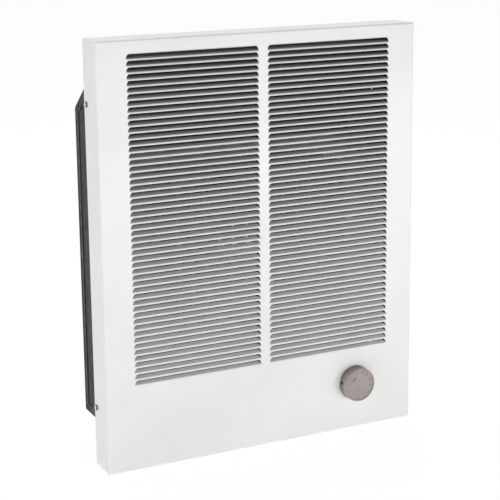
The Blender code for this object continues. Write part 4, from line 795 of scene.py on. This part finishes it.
def bend_back(shape, run, outward):
    """Bends the sheet back from a straight run of points. Returns the run's far side."""
    last = run
    for step in range(1, COVER_BEND_STEPS + 1):
        angle = math.pi / 2 * step / COVER_BEND_STEPS
        out = COVER_BEND * math.sin(angle)
        back = COVER_BEND * (1 - math.cos(angle))
        row = [shape.verts.new(vert.co + Vector(outward) * out + Vector((0, back, 0))) for vert in run]
        strip(shape, last, row)
        last = row
    return last


def cover_corner(shape, across, up):
    """The ball corner between two bends, and the rounded upright edge behind it."""
    turns = [math.pi / 2 * step / COVER_BEND_STEPS for step in range(COVER_BEND_STEPS + 1)]
    level = COVER_TOP - COVER_BEND if up > 0 else COVER_FOOT + COVER_BEND
    centre = Vector((across * (COVER_HALF - COVER_BEND), COVER_FRONT + COVER_BEND, level))
    grid = []
    for tilt in turns:
        out, forward = COVER_BEND * math.sin(tilt), COVER_BEND * math.cos(tilt)
        steps = [(across * out * math.cos(turn), -forward, up * out * math.sin(turn)) for turn in turns]
        grid.append([shape.verts.new(centre + Vector(step)) for step in steps])
    for inner, outer in zip(grid, grid[1:]):
        strip(shape, inner, outer)
    back = [shape.verts.new((vert.co.x, 0.0, vert.co.z)) for vert in grid[-1]]
    strip(shape, grid[-1], back)


def build_cover():
    """The folded cover with its louvres, as one smooth skin that is then given its thickness."""
    shape = bmesh.new()
    bottom, right_side, top, left_side = cover_front(shape)
    low, high = COVER_FOOT + COVER_BEND, COVER_TOP - COVER_BEND
    for run, outward in ((bottom, (0, 0, -1)), (top, (0, 0, 1))):
        edge = bend_back(shape, run, outward)
        back = [shape.verts.new((vert.co.x, 0.0, vert.co.z)) for vert in (edge[0], edge[-1])]
        shape.faces.new([*edge, back[1], back[0]])
    for run, side in ((right_side, 1), (left_side, -1)):
        edge = bend_back(shape, run, (side, 0, 0))
        back = [shape.verts.new((side * COVER_HALF, 0.0, z)) for z in (high, low)]
        holes = [
            [(side * COVER_HALF, y, z) for y, z in circle(hole, SCREW_HOLE_RADIUS, SCREW_HOLE_STEPS)]
            for hole in SCREW_HOLES
        ]
        fill_with_holes(shape, [*edge, *back], holes)
    for across in (-1, 1):
        for up in (-1, 1):
            cover_corner(shape, across, up)
    bmesh.ops.remove_doubles(shape, verts=shape.verts, dist=SAME_POINT)
    bmesh.ops.recalc_face_normals(shape, faces=shape.faces)
    if sum(face.normal.y * face.calc_area() for face in shape.faces) > 0:
        bmesh.ops.reverse_faces(shape, faces=shape.faces)
    cover = piece("cover_skin", mesh_of("cover_skin", shape), "white_enamel", "housing", "cover")
    sheet = cover.modifiers.new("sheet", "SOLIDIFY")
    sheet.thickness = COVER_SHEET
    sheet.offset = -1.0
    shade(cover)


build_cover()


def turned(profile, steps):
    """A solid of revolution about Z from (radius, height) points. Points on the axis close it."""
    shape = bmesh.new()
    rings = []
    for radius, height in profile:
        if radius == 0:
            rings.append([shape.verts.new((0, 0, height))] * steps)
        else:
            rings.append([shape.verts.new((x, y, height)) for x, y in circle((0, 0), radius, steps)])
    for lower, upper in zip(rings, rings[1:]):
        strip(shape, lower, upper, closed=True)
    bmesh.ops.recalc_face_normals(shape, faces=shape.faces)
    return shape


def cut(mesh, *cutters):
    """The mesh less its cutters."""
    block = bpy.data.objects.new("block", mesh)
    bpy.context.scene.collection.objects.link(block)
    tools = []
    for cutter in cutters:
        tool = bpy.data.objects.new("cutter", cutter)
        bpy.context.scene.collection.objects.link(tool)
        tools.append(tool)
        boolean = block.modifiers.new("cut", "BOOLEAN")
        boolean.object = tool
        boolean.operation = "DIFFERENCE"
        boolean.solver = "EXACT"
    state = bpy.context.evaluated_depsgraph_get()
    result = bpy.data.meshes.new_from_object(block.evaluated_get(state))
    for thing in (block, *tools):
        bpy.data.objects.remove(thing)
    return result


# From a knob-shaped solid's own space, with its height along Z, to its place in front of the cover.
KNOB_FRAME = Matrix.Translation(KNOB_BASE) @ Matrix.Rotation(math.radians(90), 4, "X")


def build_knob():
    """The knob: a drafted side, rounded edges, a rim, a groove inside it and a slightly sunken face."""
    inner_top = KNOB_HEIGHT - KNOB_TOP_WALL
    face = KNOB_HEIGHT - KNOB_FACE_RECESS
    groove = (KNOB_RIM + KNOB_FACE_RADIUS) / 2
    profile = [
        (0, face),
        (KNOB_FACE_RADIUS / 2, face),
        (KNOB_FACE_RADIUS - KNOB_NICK, face),
        (KNOB_FACE_RADIUS, face - KNOB_NICK),
        (groove - KNOB_NICK, KNOB_HEIGHT - KNOB_GROOVE),
        (groove + KNOB_NICK, KNOB_HEIGHT - KNOB_GROOVE),
        (KNOB_RIM, KNOB_HEIGHT - KNOB_NICK),
        (KNOB_RIM + KNOB_NICK, KNOB_HEIGHT),
        *arc((KNOB_TOP_RADIUS - KNOB_EDGE, KNOB_HEIGHT - KNOB_EDGE), KNOB_EDGE, 90, 0, 7),
        *arc((KNOB_BASE_RADIUS - KNOB_FOOT_EDGE, KNOB_FOOT_EDGE), KNOB_FOOT_EDGE, 0, -90, 4),
        (KNOB_BASE_RADIUS - KNOB_WALL, 0),
        (KNOB_TOP_RADIUS - KNOB_WALL, inner_top),
        (KNOB_BOSS_RADIUS, inner_top),
        (KNOB_BOSS_RADIUS, KNOB_BOSS_RECESS),
        (KNOB_BORE, KNOB_BOSS_RECESS),
        (KNOB_BORE, inner_top),
        (0, inner_top),
    ]
    body = mesh_of("knob_blank", turned(profile, KNOB_STEPS))
    body.transform(KNOB_FRAME)
    near, far = SET_SCREW_BORE
    profile = [(0, near), (SET_SCREW_HOLE, near), (SET_SCREW_HOLE, far), (0, far)]
    bore = mesh_of("bore", turned(profile, SET_SCREW_BORE_STEPS))
    turn = Vector(SET_SCREW_AIM).to_track_quat("Z", "Y").to_matrix().to_4x4()
    bore.transform(Matrix.Translation(SET_SCREW_MIDDLE) @ turn)
    shade(piece("knob_turned", cut(body, bore), "taupe_plastic", "dial", "knob"))


def figure(text):
    """A raised figure, upright on the XY plane round the origin."""
    writing = bpy.data.curves.new("figure", "FONT")
    writing.body = text
    writing.size = FIGURE_SIZE
    writing.align_x = "CENTER"
    writing.align_y = "CENTER"
    writing.extrude = FIGURE_RELIEF / 2
    writing.resolution_u = 4
    holder = bpy.data.objects.new("figure", writing)
    bpy.context.scene.collection.objects.link(holder)
    state = bpy.context.evaluated_depsgraph_get()
    mesh = bpy.data.meshes.new_from_object(holder.evaluated_get(state))
    bpy.data.objects.remove(holder)
    return mesh


def arrow():
    """A raised arrow that curves round the origin."""
    shape = bmesh.new()
    stem_end = ARROW_TO + ARROW_HEAD_LENGTH / ARROW_RING
    turns = [ARROW_FROM + (stem_end - ARROW_FROM) * step / ARROW_STEPS for step in range(ARROW_STEPS + 1)]
    outline = [
        *((ARROW_RING + ARROW_WIDTH / 2, turn) for turn in turns),
        (ARROW_RING + ARROW_HEAD_WIDTH / 2, stem_end),
        (ARROW_RING, ARROW_TO),
        (ARROW_RING - ARROW_HEAD_WIDTH / 2, stem_end),
        *((ARROW_RING - ARROW_WIDTH / 2, turn) for turn in reversed(turns)),
    ]
    lower, upper = (
        [shape.verts.new((radius * math.cos(turn), radius * math.sin(turn), z)) for radius, turn in outline]
        for z in (-FIGURE_RELIEF / 2, FIGURE_RELIEF / 2)
    )
    shape.faces.new(upper)
    shape.faces.new(list(reversed(lower)))
    strip(shape, lower, upper, closed=True)
    bmesh.ops.recalc_face_normals(shape, faces=shape.faces)
    return mesh_of("arrow", shape)


def build_marks():
    """The figures round the knob's face and the curved arrow inside them, as one raised layer."""
    level = KNOB_HEIGHT - KNOB_FACE_RECESS + FIGURE_RELIEF / 2 - FIGURE_SINK
    marks = bmesh.new()
    for place, text in enumerate(FIGURES):
        turn = FIRST_FIGURE + place * FIGURE_STEP
        mesh = figure(text)
        stand = Matrix.Rotation(turn - math.radians(90), 4, "Z")
        mesh.transform(stand @ Matrix.Translation((0, FIGURE_RING, 0)))
        marks.from_mesh(mesh)
    marks.from_mesh(arrow())
    layer = mesh_of("knob_marks", marks)
    layer.transform(KNOB_FRAME @ Matrix.Translation((0, 0, level)))
    shade(piece("knob_marks", layer, "dial_print", "dial", slot="taupe_plastic"))


def build_cover_screw(node, side, place):
    """A pan-head screw with a cross recess, in a hole of the cover's side."""
    depth, level = place
    height = HEAD_TOP - HEAD_BASE
    foot = (HEAD_RADIUS - HEAD_FOOT_EDGE, HEAD_FOOT_EDGE)
    crown = (HEAD_RADIUS - HEAD_CROWN_EDGE, height - HEAD_CROWN_EDGE)
    profile = [
        *SHANK,
        (HEAD_RADIUS - HEAD_FOOT_EDGE, 0),
        *arc(foot, HEAD_FOOT_EDGE, -90, 0, 3),
        *arc(crown, HEAD_CROWN_EDGE, 0, 80, 6),
        (HEAD_RADIUS * HEAD_CROWN_FLAT, height - HEAD_CROWN_DROP),
        (0, height),
    ]
    wings = []
    for turn in (0, math.radians(90)):
        wing = bmesh.new()
        bmesh.ops.create_cube(wing, size=1.0)
        for vert in wing.verts:
            deep = vert.co.z < 0
            length, width = RECESS_FOOT if deep else RECESS_MOUTH
            vert.co.x *= length
            vert.co.y *= width
            vert.co.z = height - RECESS_DEPTH if deep else height + CUT_CLEARANCE
        mesh = mesh_of("wing", wing)
        # Each head stopped at a turn of its own.
        mesh.transform(Matrix.Rotation(turn + RECESS_TURN * side + level, 4, "Z"))
        wings.append(mesh)
    head = cut(mesh_of(node, turned(profile, HEAD_STEPS)), *wings)
    aim = Matrix.Rotation(math.radians(90 * side), 4, "Y")
    head.transform(Matrix.Translation((side * HEAD_BASE, depth, level)) @ aim)
    shade(piece(f"{node}_driven", head, "plated_head", "housing", node, slot="zinc"))


def weld_bowl(shape, side, middle):
    """The shallow bowl of a spot weld. Returns its rim, which is left open to the sheet's face."""
    face = side * (CAN_HALF + FLANGE_SHEET)
    rings = []
    for width, depth in WELD_BOWL:
        x = face - side * WELD_DEPTH * depth
        rings.append([(x, y, z) for y, z in circle(middle, WELD_RADIUS * width, WELD_STEPS)])
    rows = [[shape.verts.new(point) for point in ring] for ring in rings]
    for outer, inner in zip(rows, rows[1:]):
        strip(shape, outer, inner, closed=True)
    shape.faces.new(rows[-1])
    return rings[0]


def lapped_flange(shape, side, corners):
    """One flange of the wrapper on a side wall, with a row of spot welds along its middle."""
    start = (Vector(corners[0]) + Vector(corners[3])) / 2
    end = (Vector(corners[1]) + Vector(corners[2])) / 2
    run = end - start
    count = max(1, round((run.length - 2 * FLANGE_WIDTH) / WELD_SPACING) + 1)
    reach = min(0.5, FLANGE_WIDTH / run.length)
    shares = [0.5] if count == 1 else [reach + (1 - 2 * reach) * i / (count - 1) for i in range(count)]
    rims = [weld_bowl(shape, side, start + run * share) for share in shares]
    outer, inner = (
        [shape.verts.new((side * (CAN_HALF + out), y, z)) for y, z in corners]
        for out in (FLANGE_SHEET, -FLANGE_BURIED)
    )
    fill_with_holes(shape, outer, rims)
    shape.faces.new(inner)
    strip(shape, outer, inner, closed=True)


def build_can_flanges(side, name):
    """The laps of the can's wrapper round one side wall, mitred at the corners."""
    points = [Vector(point) for point in CAN_OUTLINE]
    runs = [(b - a).normalized() for a, b in zip(points, points[1:])]
    inward = [Vector((-run.y, run.x)) for run in runs]

    def offset(corner, width):
        before, after = inward[max(corner - 1, 0)], inward[min(corner, len(inward) - 1)]
        return points[corner] + (before + after) * (width / (1 + before.dot(after)))

    shape = bmesh.new()
    for i, run in enumerate(runs):
        gap = run * FLANGE_GAP
        corners = [
            offset(i, FLANGE_INSET) + gap,
            offset(i + 1, FLANGE_INSET) - gap,
            offset(i + 1, FLANGE_WIDTH) - gap,
            offset(i, FLANGE_WIDTH) + gap,
        ]
        lapped_flange(shape, side, corners)
    bmesh.ops.remove_doubles(shape, verts=shape.verts, dist=SAME_POINT)
    bmesh.ops.recalc_face_normals(shape, faces=shape.faces)
    flanges = piece(name, mesh_of(name, shape), "dark_enamel", "housing")
    smooth(flanges)
    round_edges(flanges, FLANGE_EDGE)


build_can_flanges(-1, "can_flanges_left")
build_can_flanges(1, "can_flanges_right")
build_knob()
build_marks()
for number, (side, hole) in enumerate(((side, hole) for side in (-1, 1) for hole in SCREW_HOLES), start=1):
    build_cover_screw(f"cover_screw_{number}", side, hole)


def stage():
    """A pale floor and a white surround. Only what the camera, gloss and glass see is plain white."""
    floor_mesh = bpy.data.meshes.new("floor")
    signs = ((-1, -1), (1, -1), (1, 1), (-1, 1))
    corners = [(x * FLOOR_HALF, y * FLOOR_HALF, FLOOR_LEVEL) for x, y in signs]
    floor_mesh.from_pydata(corners, [], [(0, 1, 2, 3)])
    floor = bpy.data.objects.new("floor", floor_mesh)
    bpy.context.scene.collection.objects.link(floor)
    material = bpy.data.materials.new("floor")
    material.use_nodes = True
    tree = material.node_tree
    shader = tree.nodes["Principled BSDF"]
    shader.inputs["Base Color"].default_value = (0.90, 0.90, 0.90, 1.0)
    shader.inputs["Roughness"].default_value = 0.8
    shader.inputs["Emission Color"].default_value = WHITE
    shader.inputs["Emission Strength"].default_value = FLOOR_GLOW
    glow = tree.nodes.new("ShaderNodeEmission")
    glow.inputs["Strength"].default_value = 1.0
    blend = tree.nodes.new("ShaderNodeMixShader")
    share = tree.nodes.new("ShaderNodeMath")
    share.operation = "MULTIPLY"
    share.inputs[1].default_value = FLOOR_WHITE
    tree.links.new(seen(tree), share.inputs[0])
    tree.links.new(share.outputs[0], blend.inputs[0])
    tree.links.new(shader.outputs[0], blend.inputs[1])
    tree.links.new(glow.outputs[0], blend.inputs[2])
    tree.links.new(blend.outputs[0], tree.nodes["Material Output"].inputs["Surface"])
    floor_mesh.materials.append(material)


def seen(tree):
    """1 for a ray from the camera, or one that gloss or glass sends on."""
    path = tree.nodes.new("ShaderNodeLightPath")
    first = tree.nodes.new("ShaderNodeMath")
    first.operation = "MAXIMUM"
    second = tree.nodes.new("ShaderNodeMath")
    second.operation = "MAXIMUM"
    tree.links.new(path.outputs["Is Camera Ray"], first.inputs[0])
    tree.links.new(path.outputs["Is Glossy Ray"], first.inputs[1])
    tree.links.new(first.outputs[0], second.inputs[0])
    tree.links.new(path.outputs["Is Transmission Ray"], second.inputs[1])
    return second.outputs[0]


def surround(strength):
    world = bpy.data.worlds.new("surround")
    bpy.context.scene.world = world
    world.use_nodes = True
    tree = world.node_tree
    light = tree.nodes["Background"]
    light.inputs["Color"].default_value = WHITE
    light.inputs["Strength"].default_value = strength
    white = tree.nodes.new("ShaderNodeBackground")
    white.inputs["Color"].default_value = WHITE
    white.inputs["Strength"].default_value = 1.0
    blend = tree.nodes.new("ShaderNodeMixShader")
    tree.links.new(seen(tree), blend.inputs[0])
    tree.links.new(light.outputs[0], blend.inputs[1])
    tree.links.new(white.outputs[0], blend.inputs[2])
    tree.links.new(blend.outputs[0], tree.nodes["World Output"].inputs["Surface"])


def lamp(name, place, target, size, watts):
    data = bpy.data.lights.new(name, "AREA")
    data.shape = "RECTANGLE"
    data.size, data.size_y = size
    data.energy = watts
    light = bpy.data.objects.new(name, data)
    light.location = place
    light.rotation_euler = (Vector(place) - Vector(target)).to_track_quat("Z", "Y").to_euler()
    light.visible_camera = False
    bpy.context.scene.collection.objects.link(light)


def camera():
    """A pinhole that turns by yaw about the vertical, then pitches down and rolls."""
    yaw = Matrix.Rotation(-CAMERA_YAW, 4, "Z")
    pitch = Matrix.Rotation(-CAMERA_PITCH, 4, "X")
    level = Matrix.Rotation(math.radians(90), 4, "X")
    roll = Matrix.Rotation(CAMERA_ROLL, 4, "Z")
    data = bpy.data.cameras.new("camera")
    data.lens = CAMERA_LENS
    data.sensor_width = CAMERA_SENSOR
    data.shift_y = CAMERA_SHIFT
    holder = bpy.data.objects.new("camera", data)
    holder.matrix_world = Matrix.Translation(CAMERA_PLACE) @ yaw @ pitch @ level @ roll
    bpy.context.scene.collection.objects.link(holder)
    bpy.context.scene.camera = holder


stage()
surround(SURROUND)
for settings in LAMPS:
    lamp(*settings)
camera()
bpy.context.scene.view_settings.view_transform = "Standard"
